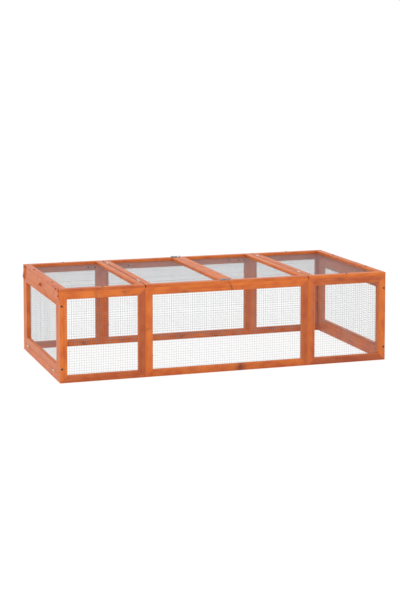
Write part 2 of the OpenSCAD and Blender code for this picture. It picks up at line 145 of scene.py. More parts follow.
class Graph:
    """The shader nodes of one material, lamp or world."""

    def __init__(self, tree: bpy.types.NodeTree) -> None:
        """Starts an empty graph in the tree."""
        self.tree = tree
        tree.nodes.clear()

    def node(
        self, kind: str, settings: dict[str, Any] | None, inputs: dict[str, Any] | None
    ) -> bpy.types.Node:
        """Adds one node.

        Args:
            kind: the node's type without its ShaderNode prefix.
            settings: the node's own properties, which are set before its sockets.
            inputs: numbers, colours, vectors or other outputs for its sockets.

        Returns:
            The node.
        """
        node = self.tree.nodes.new("ShaderNode" + kind)
        for name, value in (settings or {}).items():
            setattr(node, name, value)
        for name, value in (inputs or {}).items():
            socket = self._socket(node.inputs, name)
            if isinstance(value, Sock):
                self.tree.links.new(value.link, socket)
            else:
                socket.default_value = value
        return node

    def add(
        self,
        kind: str,
        output: str = "",
        settings: dict[str, Any] | None = None,
        inputs: dict[str, Any] | None = None,
    ) -> Sock | None:
        """Adds one node and takes one of its outputs.

        Args:
            kind: the node's type without its ShaderNode prefix.
            output: the output that is wanted; empty for the first one.
            settings: the node's own properties.
            inputs: values and outputs for its sockets.

        Returns:
            The output, or None for a node that has none.
        """
        outputs = self.node(kind, settings, inputs).outputs
        if not outputs:
            return None
        return Sock(self, self._socket(outputs, output) if output else outputs[0])

    @staticmethod
    def _socket(sockets: Iterable[bpy.types.NodeSocket], name: str) -> bpy.types.NodeSocket:
        """Finds a socket by its identifier, or else by its name."""
        named = [s for s in sockets if name in (s.identifier, s.name)]
        return min(named, key=lambda s: s.identifier != name)

    def math(self, operation: str, *values: "Sock | float") -> Sock:
        """Adds a Math node with its one to three values, and gives its result."""
        names = ("Value", "Value_001", "Value_002")
        return self.add("Math", "Value", {"operation": operation}, dict(zip(names, values)))

    def vector_math(self, operation: str, *vectors: Any, output: str = "Vector") -> Sock:
        """Adds a Vector Math node with its one or two vectors, and gives its result."""
        names = ("Vector", "Vector_001")
        return self.add("VectorMath", output, {"operation": operation}, dict(zip(names, vectors)))

    def mix(self, factor: "Sock | float", first: Any, second: Any) -> Sock:
        """Goes from one colour to another.

        Args:
            factor: the share of the second colour.
            first: the first colour.
            second: the second colour.

        Returns:
            The mixed colour.
        """
        colours = {"A_Color": self._paint(first), "B_Color": self._paint(second)}
        inputs = {"Factor_Float": factor, **colours}
        return self.add("Mix", "Result_Color", {"data_type": "RGBA"}, inputs)

    @staticmethod
    def _paint(colour: "Sock | Colour") -> Any:
        """Gives a plain colour its fourth number."""
        return colour if isinstance(colour, Sock) else (*colour, 1.0)

    def noise(self, place: Sock, stretch: Sequence[float], detail: float = 2.0) -> Sock:
        """Adds a Noise Texture, mostly near 0.5, with stretch waves a metre along each axis."""
        scaled = self.vector_math("MULTIPLY", place, tuple(stretch))
        return self.add("TexNoise", "Fac", None, {"Vector": scaled, "Scale": 1.0, "Detail": detail})

    def tint(self, factor: "Sock | float", colour: Sock, shade: Colour) -> Sock:
        """Multiplies a colour by a shade, to the share that the factor gives."""
        return self.vector_math("MULTIPLY", colour, self.mix(factor, WHITE, shade))

    def parts(self, vector: Sock) -> tuple[Sock, Sock, Sock]:
        """Splits a vector into its X, Y and Z."""
        x, y, z = self.node("SeparateXYZ", None, {"Vector": vector}).outputs
        return Sock(self, x), Sock(self, y), Sock(self, z)

    def surface_data(self, name: str, output: str = "Vector") -> Sock:
        """Reads data that a mesh carries under this name."""
        return self.add("Attribute", output, {"attribute_name": name})


def new_material(name: str) -> tuple[bpy.types.Material, Graph]:
    """Starts a material.

    Args:
        name: its name.

    Returns:
        The material and its empty graph.
    """
    material = bpy.data.materials.new(name)
    material.use_nodes = True
    return material, Graph(material.node_tree)


def finish_surface(graph: Graph, inputs: dict[str, Any]) -> None:
    """Ends a material's graph with a Principled shader that has these inputs."""
    shader = graph.add("BsdfPrincipled", "", None, inputs)
    graph.add("OutputMaterial", "", None, {"Surface": shader})


# ---- Finishes --------------------------------------------------------------------

KNOT_DATA = ("knot_a", "knot_b")


@dataclass(frozen=True)
class StainedFir:
    """Planed softwood under an orange-brown satin stain.

    Attributes:
        light: the stain on a pale stick.
        dull: the stain on a dull stick.
        red: the stain on a reddish stick.
        knot: the heart of a knot.
        eased: the painted highlight on the rounded long edges.
        painted_seam_shade: the painted shade on the faces in the hinge seams.
        dark_blotch: what a dark blotch does to the colour.
        pale_blotch: what a pale blotch does to it.
        line: what the grain's lines and the rings' rims do to it.
        fibre: what open fibres and sawn ends do to it.
        edge_highlight_share: how far the painted highlight covers the rounded edges.
        ring_width: the width of a year's ring.
        relief: the depth of the fibres and rims.
        refraction: the varnish's index of refraction.
    """

    light: Colour = (0.715, 0.168, 0.021)
    dull: Colour = (0.430, 0.094, 0.028)
    red: Colour = (0.600, 0.098, 0.020)
    knot: Colour = (0.150, 0.034, 0.020)
    eased: Colour = (0.800, 0.195, 0.025)
    painted_seam_shade: Colour = (0.100, 0.022, 0.012)
    dark_blotch: Colour = (0.86, 0.70, 0.72)
    pale_blotch: Colour = (1.08, 1.16, 1.14)
    line: Colour = (0.90, 0.82, 0.84)
    fibre: Colour = (0.78, 0.66, 0.66)
    edge_highlight_share: float = 0.85
    ring_width: float = 5.2 * MM
    relief: float = 0.25 * MM
    refraction: float = 1.44

    def material(self) -> bpy.types.Material:
        """Makes the stained timber.

        Returns:
            The material, which reads each stick's grain, tone and knots.
        """
        material, g = new_material("stained fir")
        grain = g.surface_data("grain")
        dullness, redness, depth = g.parts(g.surface_data("tone"))
        knots = [self._knot(g, name) for name in KNOT_DATA]
        dark = g.math("MAXIMUM", knots[0][1], knots[1][1])
        late = self._late_wood(g, grain, knots[0][0] + knots[1][0])
        lines = g.noise(grain, (1.6, 75.0, 75.0), 2.0)
        blotches = g.noise(grain, (15.0, 24.0, 24.0), 3.0)
        fibres = g.noise(grain, (14.0, 900.0, 900.0), 3.0)
        end_grain = self._end_grain(g)
        # Above 0 on rounded edges, which get a painted highlight; below 0 on faces in the hinge
        # seams, which get painted shade.
        edge_light_and_seam_shade = g.surface_data("eased", "Fac")

        colour = g.mix(dullness, self.light, self.dull)
        colour = g.mix(redness, colour, self.red)
        for factor, shade in (
            (blotches.rise(0.47, 0.68) * depth, self.dark_blotch),
            (blotches.rise(0.52, 0.32) * depth, self.pale_blotch),
            (lines.rise(0.50, 0.66), self.line),
            (late, self.line),
            (fibres.rise(0.52, 0.80) * 0.7 + end_grain, self.fibre),
        ):
            colour = g.tint(factor, colour, shade)
        # Painted highlight on the rounded edges.
        colour = g.mix(edge_light_and_seam_shade.rise(0.0, 1.0) * self.edge_highlight_share, colour, self.eased)
        colour = g.mix(dark, colour, self.knot)
        # Painted shade on the faces in the hinge seams.
        colour = g.mix(edge_light_and_seam_shade.rise(0.0, -1.0), colour, self.painted_seam_shade)

        relief = {"Height": fibres * 0.6 + late * 0.7, "Strength": 0.35, "Distance": self.relief}
        finish_surface(g, {
            "Base Color": colour,
            "Roughness": 0.38 + 0.16 * fibres + 0.10 * end_grain,
            "Normal": g.add("Bump", "Normal", None, relief),
            "IOR": self.refraction,
        })
        return material

    def _late_wood(self, g: Graph, grain: Sock, bend: Sock) -> Sock:
        """Draws the dark rim of each year's ring.

        Args:
            g: the material's graph.
            grain: the stick's grain coordinates.
            bend: how far the knots push the rings.

        Returns:
            0 in the pale wood, up to 1 at the rims.
        """
        cross = g.vector_math("MULTIPLY", grain, (0.0, 1.0, 1.0))
        radius = g.vector_math("LENGTH", cross, output="Value")
        wander = g.noise(grain, (1.7, 28.0, 28.0), 1.0) - 0.5
        rings = (radius + wander * (9 * MM) + bend * (8 * MM)) / self.ring_width
        uneven = 0.35 + 0.65 * g.noise(grain, (4.0, 60.0, 60.0), 1.0)
        return g.math("FRACT", rings) ** 3.0 * uneven

    @staticmethod
    def _knot(g: Graph, name: str) -> tuple[Sock, Sock]:
        """Draws one knot from its own coordinates.

        Args:
            g: the material's graph.
            name: the mesh data with the knot's coordinates and strength.

        Returns:
            How far the rings bend round it, and how dark it makes the stain.
        """
        place = g.surface_data(name)
        strength = g.parts(place)[2]
        flat = g.vector_math("MULTIPLY", place, (1.0, 1.0, 0.0))
        away = g.vector_math("LENGTH", flat, output="Value")
        ragged = away + (g.noise(flat, (2.1, 2.1, 2.1), 2.0) - 0.5) * 0.7
        bend = g.math("EXPONENT", away * away * -0.9) * strength
        heart = ragged.rise(1.35, 0.45) * strength
        halo = ragged.rise(2.9, 0.8) * strength * 0.40
        return bend, g.math("MAXIMUM", heart, halo)

    @staticmethod
    def _end_grain(g: Graph) -> Sock:
        """Finds the sawn ends, where the surface faces along the grain.

        Args:
            g: the material's graph.

        Returns:
            1 on the ends and 0 elsewhere.
        """
        facing = g.add("TexCoord", "Normal")
        run = g.surface_data("along")
        turned = g.vector_math("DOT_PRODUCT", facing, run, output="Value")
        return g.math("ABSOLUTE", turned).rise(0.80, 0.98)


@dataclass(frozen=True)
class BrightMetal:
    """Plated or galvanised steel with a spangled coat.

    Attributes:
        name: the material's name.
        bright: the coat at its brightest.
        dim: the coat between the bright spangles.
        painted_shade: a darker coat that paints shade and dark reflections, which a piece shows to
            the share that its data give.
        rough: the least and the most roughness.
        spangle: how many spangles fit in a metre.
        stain: how many stains fit in the length of one spangle.
        relief: the height of the spangles.
    """

    name: str
    bright: Colour
    dim: Colour
    painted_shade: Colour
    rough: Pair
    spangle: float
    stain: float = 0.12
    relief: float = 0.1 * MM

    def material(self) -> bpy.types.Material:
        """Makes the metal.

        Returns:
            The material.
        """
        material, g = new_material(self.name)
        place = g.add("TexCoord", "Object")
        spangles = g.noise(place, [self.spangle] * 3, 2.0)
        stains = g.noise(place, [self.spangle * self.stain] * 3, 3.0)
        colour = g.mix(spangles.rise(0.35, 0.65), self.dim, self.bright)
        colour = g.mix(stains.rise(0.55, 0.80) * 0.6, colour, self.dim)
        # Painted shade and dark reflections, to the share that the piece's data give.
        colour = g.mix(g.surface_data("painted_shade", "Fac"), colour, self.painted_shade)
        low, high = self.rough
        relief = {"Height": spangles, "Strength": 0.12, "Distance": self.relief}
        finish_surface(g, {
            "Base Color": colour,
            "Metallic": 1.0,
            "Roughness": low + (high - low) * stains,
            "Normal": g.add("Bump", "Normal", None, relief),
        })
        return material


@dataclass(frozen=True)
class DarkSteel:
    """Screws with a dark blue-green passivated coat, rubbed in places.

    Attributes:
        coat: the coat's colour.
        rubbed: its colour where it is rubbed.
        rub_waves: how many rubbed places fit in a metre.
        metallic: how far it shines as bare metal does.
        refraction: the coat's index of refraction.
    """

    coat: Colour = (0.005, 0.050, 0.072)
    rubbed: Colour = (0.016, 0.080, 0.105)
    rub_waves: float = 900.0
    metallic: float = 0.2
    refraction: float = 1.2

    def material(self) -> bpy.types.Material:
        """Makes the dark steel.

        Returns:
            The material.
        """
        material, g = new_material("dark screws")
        place = g.add("TexCoord", "Object")
        rub = g.noise(place, [self.rub_waves] * 3, 3.0).rise(0.50, 0.75)
        finish_surface(g, {
            "Base Color": g.mix(rub * 0.5, self.coat, self.rubbed),
            "Metallic": self.metallic,
            "Roughness": 0.50 + 0.20 * rub,
            "IOR": self.refraction,
        })
        return material


FINISHES = {
    Slot.TIMBER: StainedFir(),
    Slot.WIRE: BrightMetal("galvanised wire", bright=(0.42, 0.44, 0.47), dim=(0.27, 0.29, 0.31),
                           painted_shade=(0.20, 0.21, 0.22), rough=(0.35, 0.60), spangle=400.0),
    Slot.ZINC: BrightMetal("zinc plate", bright=(0.88, 0.85, 0.78), dim=(0.66, 0.65, 0.62),
                           painted_shade=(0.19, 0.23, 0.26), rough=(0.22, 0.46), spangle=260.0),
    Slot.DARK: DarkSteel(),
}


# ---- Meshes ----------------------------------------------------------------------


class Draft:
    """The points, faces and surface data of one piece, gathered shell by shell."""

    def __init__(self) -> None:
        """Starts without any shell."""
        self.points: list[np.ndarray] = []
        self.faces: list[tuple[int, ...]] = []
        self.smooth: list[bool] = []
        self.eased: list[float] = []
        self.data: dict[str, list[np.ndarray]] = {}
        self.count = 0

    def add(
        self,
        points: Any,
        faces: Iterable[Sequence[int]],
        smooth: Sequence[bool] | bool = True,
        eased: Sequence[float] | float = 0.0,
        data: dict[str, np.ndarray] | None = None,
    ) -> None:
        """Adds one shell.

        Args:
            points: its corners.
            faces: its faces, as numbers of its own corners.
            smooth: whether each face, or all of them, are shaded smoothly.
            eased: how far each face, or all of them, are a rounded edge, which the stain paints
                with a highlight; below 0, a seam face that it paints with shade.
            data: vectors at its corners, by name.
        """
        points = np.asarray(points, float).reshape(-1, 3)
        faces = [tuple(i + self.count for i in face) for face in faces]
        self.points.append(points)
        self.faces += faces
        self.smooth += [smooth] * len(faces) if isinstance(smooth, bool) else list(smooth)
        self.eased += [eased] * len(faces) if isinstance(eased, float) else list(eased)
        for name, vectors in (data or {}).items():
            self.data.setdefault(name, []).append(vectors)
        self.count += len(points)

    def mesh(self, name: str, sharp: float = 40.0) -> bpy.types.Mesh:
        """Turns what was gathered into a mesh.

        Args:
            name: the mesh's name.
            sharp: the angle in degrees above which an edge stays crisp.

        Returns:
            The mesh.
        """
        mesh = bpy.data.meshes.new(name)
        mesh.from_pydata(np.concatenate(self.points).tolist(), [], self.faces)
        mesh.polygons.foreach_set("use_smooth", self.smooth)
        for key, vectors in self.data.items():
            layer = mesh.attributes.new(key, "FLOAT_VECTOR", "POINT")
            layer.data.foreach_set("vector", np.concatenate(vectors).astype(np.float32).ravel())
        if any(self.eased):
            layer = mesh.attributes.new("eased", "FLOAT", "FACE")
            layer.data.foreach_set("value", self.eased)
        mesh.set_sharp_from_angle(angle=math.radians(sharp))
        mesh.validate()
        return mesh


@dataclass(frozen=True)
class Plane:
    """A place to build on, in the run.

    Attributes:
        origin: where its axes start.
        u: its first axis, level on walls and ends, and along the front on the roof.
        v: its second axis, square to the first.
        n: the axis through the thickness of what is built on it.
    """

    origin: Vector
    u: Vector
    v: Vector
    n: Vector

    def at(self, u: float, v: float, n: float = 0.0) -> Vector:
        """Gives a point of the run from its place on this plane."""
        return self.origin + self.u * u + self.v * v + self.n * n


class Side(Enum):
    """The sides of the run.

    Each holds the numbers of the two axes along it and of the one through it, and the
    direction on the last that leads into the run.
    """

    FRONT = (0, 2, 1, 1.0)
    BACK = (0, 2, 1, -1.0)
    LEFT = (1, 2, 0, 1.0)
    RIGHT = (1, 2, 0, -1.0)
    ROOF = (0, 1, 2, -1.0)

    @property
    def through(self) -> int:
        """The axis through the thickness."""
        return self.value[2]

    @property
    def inward(self) -> float:
        """The direction along that axis that leads into the run."""
        return self.value[3]

    def plane(self, low: Vector, through: float | None = None) -> Plane:
        """Lays a plane along this side.

        Args:
            low: the lowest corner.
            through: the plane's place on the axis through the side, if not the corner's.

        Returns:
            The plane, with its third axis in the positive direction.
        """
        origin = low.copy()
        if through is not None:
            origin[self.through] = through
        return Plane(origin, *((X, Y, Z)[i] for i in self.value[:3]))


# How far a face is a rounded edge, by the bevel that made it; the stain paints a highlight there.
EASED, CHAMFERED = 1.0, 0.7
CRISP_ANGLE = math.radians(50)


def bevelled(
    outline: Sequence[Pair],
    plane: Plane,
    thickness: float,
    ease: float,
    cut: float,
    along: Vector | None = None,
) -> bmesh.types.BMesh:
    """Thickens an outline and rounds its edges.

    Args:
        outline: its corners on the plane.
        plane: where it lies.
        thickness: how far it goes along the plane's third axis.
        ease: the radius on the edges along the grain, or on the rims of a metal piece.
        cut: the small chamfer on all the other sharp edges.
        along: the grain's direction; without it every edge of the two faces is a rim.

    Returns:
        The solid, with its rounded faces marked as eased.
    """
    solid = bmesh.new()
    low = [solid.verts.new(plane.at(u, v)) for u, v in outline]
    high = [solid.verts.new(plane.at(u, v, thickness)) for u, v in outline]
    solid.faces.new(low)
    solid.faces.new(high[::-1])
    for i, j in zip(range(len(low)), [*range(1, len(low)), 0]):
        solid.faces.new((low[i], high[i], high[j], low[j]))
    bmesh.ops.recalc_face_normals(solid, faces=solid.faces[:])
    marks = solid.faces.layers.float.new("eased")

    def directed(edge: bmesh.types.BMEdge, axis: Vector) -> bool:
        """Tells whether an edge runs along the axis."""
        run = edge.verts[1].co - edge.verts[0].co
        return abs(run.normalized().dot(axis)) > 0.999

    def bevel(edges: list[bmesh.types.BMEdge], reach: float, steps: int, mark: float) -> None:
        """Takes some edges off and marks the new faces.

        Args:
            edges: the edges.
            reach: how far the bevel reaches on either side of them.
            steps: how many faces go round each.
            mark: how far the new faces are a rounded edge that the stain paints with a highlight.
        """
        made = bmesh.ops.bevel(solid, geom=edges, offset=reach, segments=steps, profile=0.5,
                               affect="EDGES", clamp_overlap=True)
        for face in made["faces"]:
            face[marks] = mark

    axis, wanted = (along, True) if along is not None else (plane.n, False)
    bevel([e for e in solid.edges if directed(e, axis) is wanted], ease, 3, EASED)
    if cut:
        crisp = [e for e in solid.edges if e.calc_face_angle(0.0) > CRISP_ANGLE]
        bevel(crisp, cut, 1, CHAMFERED)
    return solid


def add_solid(draft: Draft, solid: bmesh.types.BMesh,
              figure: Callable[[np.ndarray], dict[str, np.ndarray]] | None = None) -> None:
    """Adds a solid's shell to a draft and frees the solid.

    Args:
        draft: the piece that takes the shell.
        solid: the solid.
        figure: works out the surface data at the shell's corners.
    """
    marks = solid.faces.layers.float.get("eased")
    solid.verts.index_update()
    faces = [[v.index for v in face.verts] for face in solid.faces]
    eased = [float(face[marks]) for face in solid.faces]
    smooth = [mark > 0 for mark in eased]
    points = np.array([v.co[:] for v in solid.verts])
    draft.add(points, faces, smooth, eased, figure(points) if figure else None)
    solid.free()


def add_pressed(
    draft: Draft, outline: Sequence[Pair], plane: Plane, thickness: float, rim: float
) -> None:
    """Adds a piece of sheet metal with rounded rims to a draft."""
    add_solid(draft, bevelled(outline, plane, thickness, rim, 0.0))


def add_tube(draft: Draft, path: Sequence[Vector], radius: float, side: Vector, sides: int) -> None:
    """Adds a round wire along a path that stays in or near one plane.

    Args:
        draft: the piece that takes it.
        path: the points along its middle.
        radius: its radius.
        side: a direction square to the path.
        sides: how many flat sides it has.
    """
    points = np.array([p[:] for p in path])
    run = np.gradient(points, axis=0)
    run /= np.linalg.norm(run, axis=1)[:, None]
    first = np.array(side[:])
    second = np.cross(run, first)
    turn = np.linspace(0, 2 * np.pi, sides, endpoint=False)
    ring = (np.cos(turn)[None, :, None] * first + np.sin(turn)[None, :, None] * second[:, None, :])
    corners = (points[:, None, :] + radius * ring).reshape(-1, 3)
    faces = [
        (k * sides + i, k * sides + (i + 1) % sides,
         (k + 1) * sides + (i + 1) % sides, (k + 1) * sides + i)
        for k in range(len(points) - 1) for i in range(sides)
    ]
    faces.append(tuple(range(sides))[::-1])
    faces.append(tuple(range(len(corners) - sides, len(corners))))
    draft.add(corners, faces)


def add_turned(draft: Draft, profile: Sequence[Pair], place: Matrix, sides: int = 24) -> None:
    """Adds a turned shape.

    Args:
        draft: the piece that takes it.
        profile: radius and height of its outline, from one end to the other; a point
            of no radius closes the shape, and a first point like the last makes it a tube.
        place: the turn and shift that put its axis, local Z, in the run.
        sides: how many steps there are round it.
    """
    hollow = profile[0] == profile[-1]
    outline = list(profile[:-1] if hollow else profile)
    if sum(a[0] * b[1] - b[0] * a[1] for a, b in zip(outline, outline[1:] + outline[:1])) < 0:
        outline.reverse()
    turns = [2 * math.pi * i / sides for i in range(sides)]
    points: list[Vector] = []
    rings: list[list[int]] = []
    for radius, height in outline:
        spots = turns if radius > 0 else turns[:1]
        rings.append(list(range(len(points), len(points) + len(spots))))
        points += [place @ Vector((radius * math.cos(t), radius * math.sin(t), height))
                   for t in spots]
    pairs = list(zip(rings, rings[1:])) + ([(rings[-1], rings[0])] if hollow else [])
    faces: list[tuple[int, ...]] = []
    for low, high in pairs:
        for i in range(sides):
            j = (i + 1) % sides
            corners = (low[i % len(low)], low[j % len(low)],
                       high[j % len(high)], high[i % len(high)])
            faces.append(tuple(dict.fromkeys(corners)))
    draft.add([p[:] for p in points], faces)


def carved(body: bpy.types.Mesh, tool: bpy.types.Mesh) -> bpy.types.Mesh:
    """Cuts one closed mesh out of another.

    Args:
        body: the mesh that is cut; it is used up.
        tool: the mesh that is taken away; it is used up.

    Returns:
        What is left.
    """
    scene = bpy.context.scene.collection.objects
    stock = bpy.data.objects.new("stock", body)
    cutter = bpy.data.objects.new("cutter", tool)
    scene.link(stock)
    scene.link(cutter)
    bite = stock.modifiers.new("bite", "BOOLEAN")
    bite.object = cutter
    bite.solver = "EXACT"
    bpy.context.view_layer.update()
    graph = bpy.context.evaluated_depsgraph_get()
    left = bpy.data.meshes.new_from_object(stock.evaluated_get(graph))
    for used in (stock, cutter):
        bpy.data.objects.remove(used)
    for mesh in (body, tool):
        bpy.data.meshes.remove(mesh)
    return left


def add_mesh(draft: Draft, mesh: bpy.types.Mesh, place: Matrix) -> None:
    """Adds a finished mesh to a draft.

    Args:
        draft: the piece that takes it.
        mesh: the mesh, which stays as it is.
        place: the turn and shift that put it in the run.
    """
    points = np.array([v.co[:] for v in mesh.vertices])
    points = points @ np.array(place.to_3x3()).T + np.array(place.translation)
    smooth = [p.use_smooth for p in mesh.polygons]
    draft.add(points, [tuple(p.vertices) for p in mesh.polygons], smooth)


def islands(node: str) -> list[np.ndarray]:
    """Splits a CAD node into its separate solids.

    Args:
        node: the node's name.

    Returns:
        The corners of each solid.
    """
    mesh = frame["nodes"][node].data
    points = np.array([v.co[:] for v in mesh.vertices])
    spots, owner = np.unique(np.round(points, 6), axis=0, return_inverse=True)
    owner = owner.ravel()
    parent = list(range(len(spots)))

    def root(i: int) -> int:
        """Follows a corner to the one that stands for its solid.

        Args:
            i: the corner's number.

        Returns:
            The number of the corner that stands for the solid.
        """
        while parent[i] != i:
            parent[i] = parent[parent[i]]
            i = parent[i]
        return i

    for face in mesh.polygons:
        first, *others = (owner[i] for i in face.vertices)
        for other in others:
            parent[root(int(other))] = root(int(first))
    groups: dict[int, list[int]] = {}
    for i in range(len(spots)):
        groups.setdefault(root(i), []).append(i)
    return [spots[group] for group in groups.values()]


def box_of(points: np.ndarray) -> tuple[Vector, Vector]:
    """Gives the lowest and highest corner of some points."""
    return Vector(points.min(0)), Vector(points.max(0))


# ---- The workshop ----------------------------------------------------------------


class Workshop:
    """Holds the finishes and puts each piece on its body."""

    def __init__(self) -> None:
        """Makes one material for each slot, and finds the body of each node."""
        self.materials = {slot: finish.material() for slot, finish in FINISHES.items()}
        groups = frame["record"]["behaviour"]["bodies"]
        self.body_of = {node: body for body, nodes in groups.items() for node in nodes}

    def show(self, name: str, draft: Draft, slot: Slot, node: str, replaced: bool = True,
             painted_shade: float = 0.0) -> None:
        """Turns a draft into a piece of the run.

        Args:
            name: the piece's name.
            draft: its shells.
            slot: its finish.
            node: the CAD node whose body it rides on.
            replaced: whether it stands for that node.
            painted_shade: how far its metal is darkened to paint shade and dark reflections, from 0
                to 1.
        """
        mesh = draft.mesh(name)
        # Marks the metal for painted shade and dark reflections.
        if painted_shade:
            mesh.attributes.new("painted_shade", "FLOAT", "FACE").data.foreach_set(
                "value", [painted_shade] * len(mesh.polygons))
        mesh.materials.append(self.materials[slot])
        piece = bpy.data.objects.new(name, mesh)
        bpy.context.scene.collection.objects.link(piece)
        body = self.body_of[node]
        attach(piece, body)
        if replaced:
            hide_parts(node)
        log.info("%s: %d faces, rides on %s", name, len(mesh.polygons), body)


# ---- Screws ----------------------------------------------------------------------


@dataclass(frozen=True)
class ScrewPlace:
    """Where one screw of the run sits, and its sizes.

    Attributes:
        top: the middle of its head's top.
        out: the direction from its tip to that top.
        head_radius: the head's radius.
        head_height: the head's height.
        radius: the shank's radius.
        length: the whole screw's length.
    """

    top: Vector
    out: Vector
    head_radius: float
    head_height: float
    radius: float
    length: float

    @classmethod
    def of(cls, points: np.ndarray) -> "ScrewPlace":
        """Reads a screw's place and sizes from its solid.

        Args:
            points: the solid's corners.

        Returns:
            The place, with out pointing from the tip to the top of the head.
        """
        low, high = box_of(points)
        size = high - low
        axis = max(range(3), key=lambda i: size[i])
        middle = (low + high) / 2
        away = np.delete(points - np.array(middle[:]), axis, 1)
        reach = np.hypot(away[:, 0], away[:, 1])
        # The head's rim is the widest part, and the shank's side the widest inside it.
        rim = points[reach > reach.max() * 0.98][:, axis]
        sign = 1.0 if rim.mean() > middle[axis] else -1.0
        out = Vector([sign * (i == axis) for i in range(3)])
        core = reach[reach < reach.max() * 0.8].max()
        return cls(middle + out * size[axis] / 2, out, float(reach.max()), float(np.ptp(rim)),
                   float(core), size[axis])

    def matrix(self) -> Matrix:
        """Gives the turn and shift that put a screw's head here."""
        return Matrix.Translation(self.top) @ self.out.to_track_quat("Z", "Y").to_matrix().to_4x4()


@dataclass
class Screws:
    """All the cross-head pan screws of the run, in the groups that the CAD model has.

    Attributes:
        shop: where the pieces are shown.
        slot_width: the recess's width, as a share of the head's radius.
        slot_reach: its reach, as a share of that radius.
        slot_depth: its depth, as a share of that radius.
        thread_pitch: the distance from thread to thread.
        root: the thread's root, as a share of the shank's radius.
    """

    shop: Workshop
    slot_width: float = 0.27
    slot_reach: float = 0.58
    slot_depth: float = 0.42
    thread_pitch: float = 2.2 * MM
    root: float = 0.72

    DARK_GROUPS = ("wall_screws", "panel_screws", "roof_screws", "end_hardware_screws",
                   "lid_left_screws", "lid_right_screws")
    ZINC_GROUPS = ("frame_hinge_screws", "end_door_screws")

    def build(self) -> None:
        """Makes every group of screws, each screw turned its own way."""
        rng = random.Random("screws")
        models: dict[tuple[int, int], bpy.types.Mesh] = {}
        for node in (*self.DARK_GROUPS, *self.ZINC_GROUPS):
            draft = Draft()
            for place in map(ScrewPlace.of, islands(node)):
                key = (round(place.head_radius / HUNDREDTH), round(place.length / HUNDREDTH))
                if key not in models:
                    models[key] = self._model(place)
                spin = Matrix.Rotation(rng.uniform(0, math.pi / 2), 4, "Z")
                add_mesh(draft, models[key], place.matrix() @ spin)
            slot = Slot.ZINC if node in self.ZINC_GROUPS else Slot.DARK
            self.shop.show(f"{node}_turned", draft, slot, node)

    def _model(self, place: ScrewPlace) -> bpy.types.Mesh:
        """Makes one screw with the top of its head at the origin and its tip below.

        Args:
            place: the screw whose sizes it takes.

        Returns:
            The screw's mesh.
        """
        head, deep = place.head_radius, place.head_height
        core, pitch = place.radius, self.thread_pitch
        profile = [(0.0, 0.0), (head * 0.60, -deep * 0.03), (head * 0.86, -deep * 0.14),
                   (head * 0.97, -deep * 0.34), (head, -deep * 0.60), (head, -deep), (core, -deep)]
        depth = deep + pitch
        while depth < place.length - 2.5 * core:
            profile += [(core * self.root, -depth), (core, -depth - pitch * 0.45),
                        (core * self.root, -depth - pitch * 0.6)]
            depth += pitch
        profile += [(core * 0.5, -place.length + core), (0.0, -place.length)]
        draft = Draft()
        add_turned(draft, profile, Matrix.Identity(4))
        screw = draft.mesh("screw")
        for turn in (0.0, math.pi / 2):
            screw = carved(screw, self._slot(head, turn))
        return screw

    def _slot(self, head: float, turn: float) -> bpy.types.Mesh:
        """Makes the tapered blade that cuts one arm of the cross recess.

        Args:
            head: the head's radius.
            turn: the arm's angle about the screw.

        Returns:
            The blade's mesh.
        """
        wide, reach, depth = (head * s for s in (self.slot_width, self.slot_reach, self.slot_depth))
        blade = Draft()
        spin = Matrix.Rotation(turn, 4, "Z")
        corners = [spin @ Vector((x * reach * s, y * wide / 2 * s, z))
                   for z, s in ((0.5 * head, 1.0), (-depth, 0.55))
                   for x, y in ((-1, -1), (1, -1), (1, 1), (-1, 1))]
        sides = [(0, 1, 2, 3), (7, 6, 5, 4), (4, 5, 1, 0), (5, 6, 2, 1), (6, 7, 3, 2), (7, 4, 0, 3)]
        blade.add([c[:] for c in corners], sides, False)
        return blade.mesh("blade")


# ---- Timber ----------------------------------------------------------------------


@dataclass(frozen=True)
class Knot:
    """A knot or another dark mark in a stick.

    Attributes:
        along: its middle, as a share of the stick's length.
        across: its middle, as a share of the stick's width.
        length: half its length along the grain, in millimetres.
        width: half its width across the grain, in millimetres.
        strength: how dark it is, from 0 to 1.
        lean: its turn on the face, in degrees.
    """

    along: float
    across: float
    length: float = 7.0
    width: float = 5.0
    strength: float = 0.8
    lean: float = 0.0


NO_KNOT = Knot(-9.0, -9.0, strength=0.0)


@dataclass(frozen=True)
class Look:
    """How one stick took the stain.

    Attributes:
        dullness: how dull it is, from 0 to 1.
        redness: how reddish it is, from 0 to 1.
        knots: the knots and marks on its face, two at most.
    """

    dullness: float = 0.1
    redness: float = 0.0
    knots: tuple[Knot, ...] = ()

    @classmethod
    def chance(cls, name: str, dull: Pair) -> "Look":
        """Draws a look for a stick that the listed ones leave out.

        Args:
            name: the stick's name, which seeds the draw.
            dull: the least and the most dullness.

        Returns:
            The look.
        """
        rng = random.Random(name)
        knots = tuple(
            Knot(rng.uniform(0.12, 0.88), rng.uniform(0.15, 0.85), rng.uniform(5, 9),
                 rng.uniform(3.5, 6), rng.uniform(0.35, 0.75))
            for _ in range(rng.choice((0, 1, 1, 2))))
        return cls(rng.uniform(*dull), rng.uniform(0.0, 0.22), knots)


PLAIN = Look(0.02)

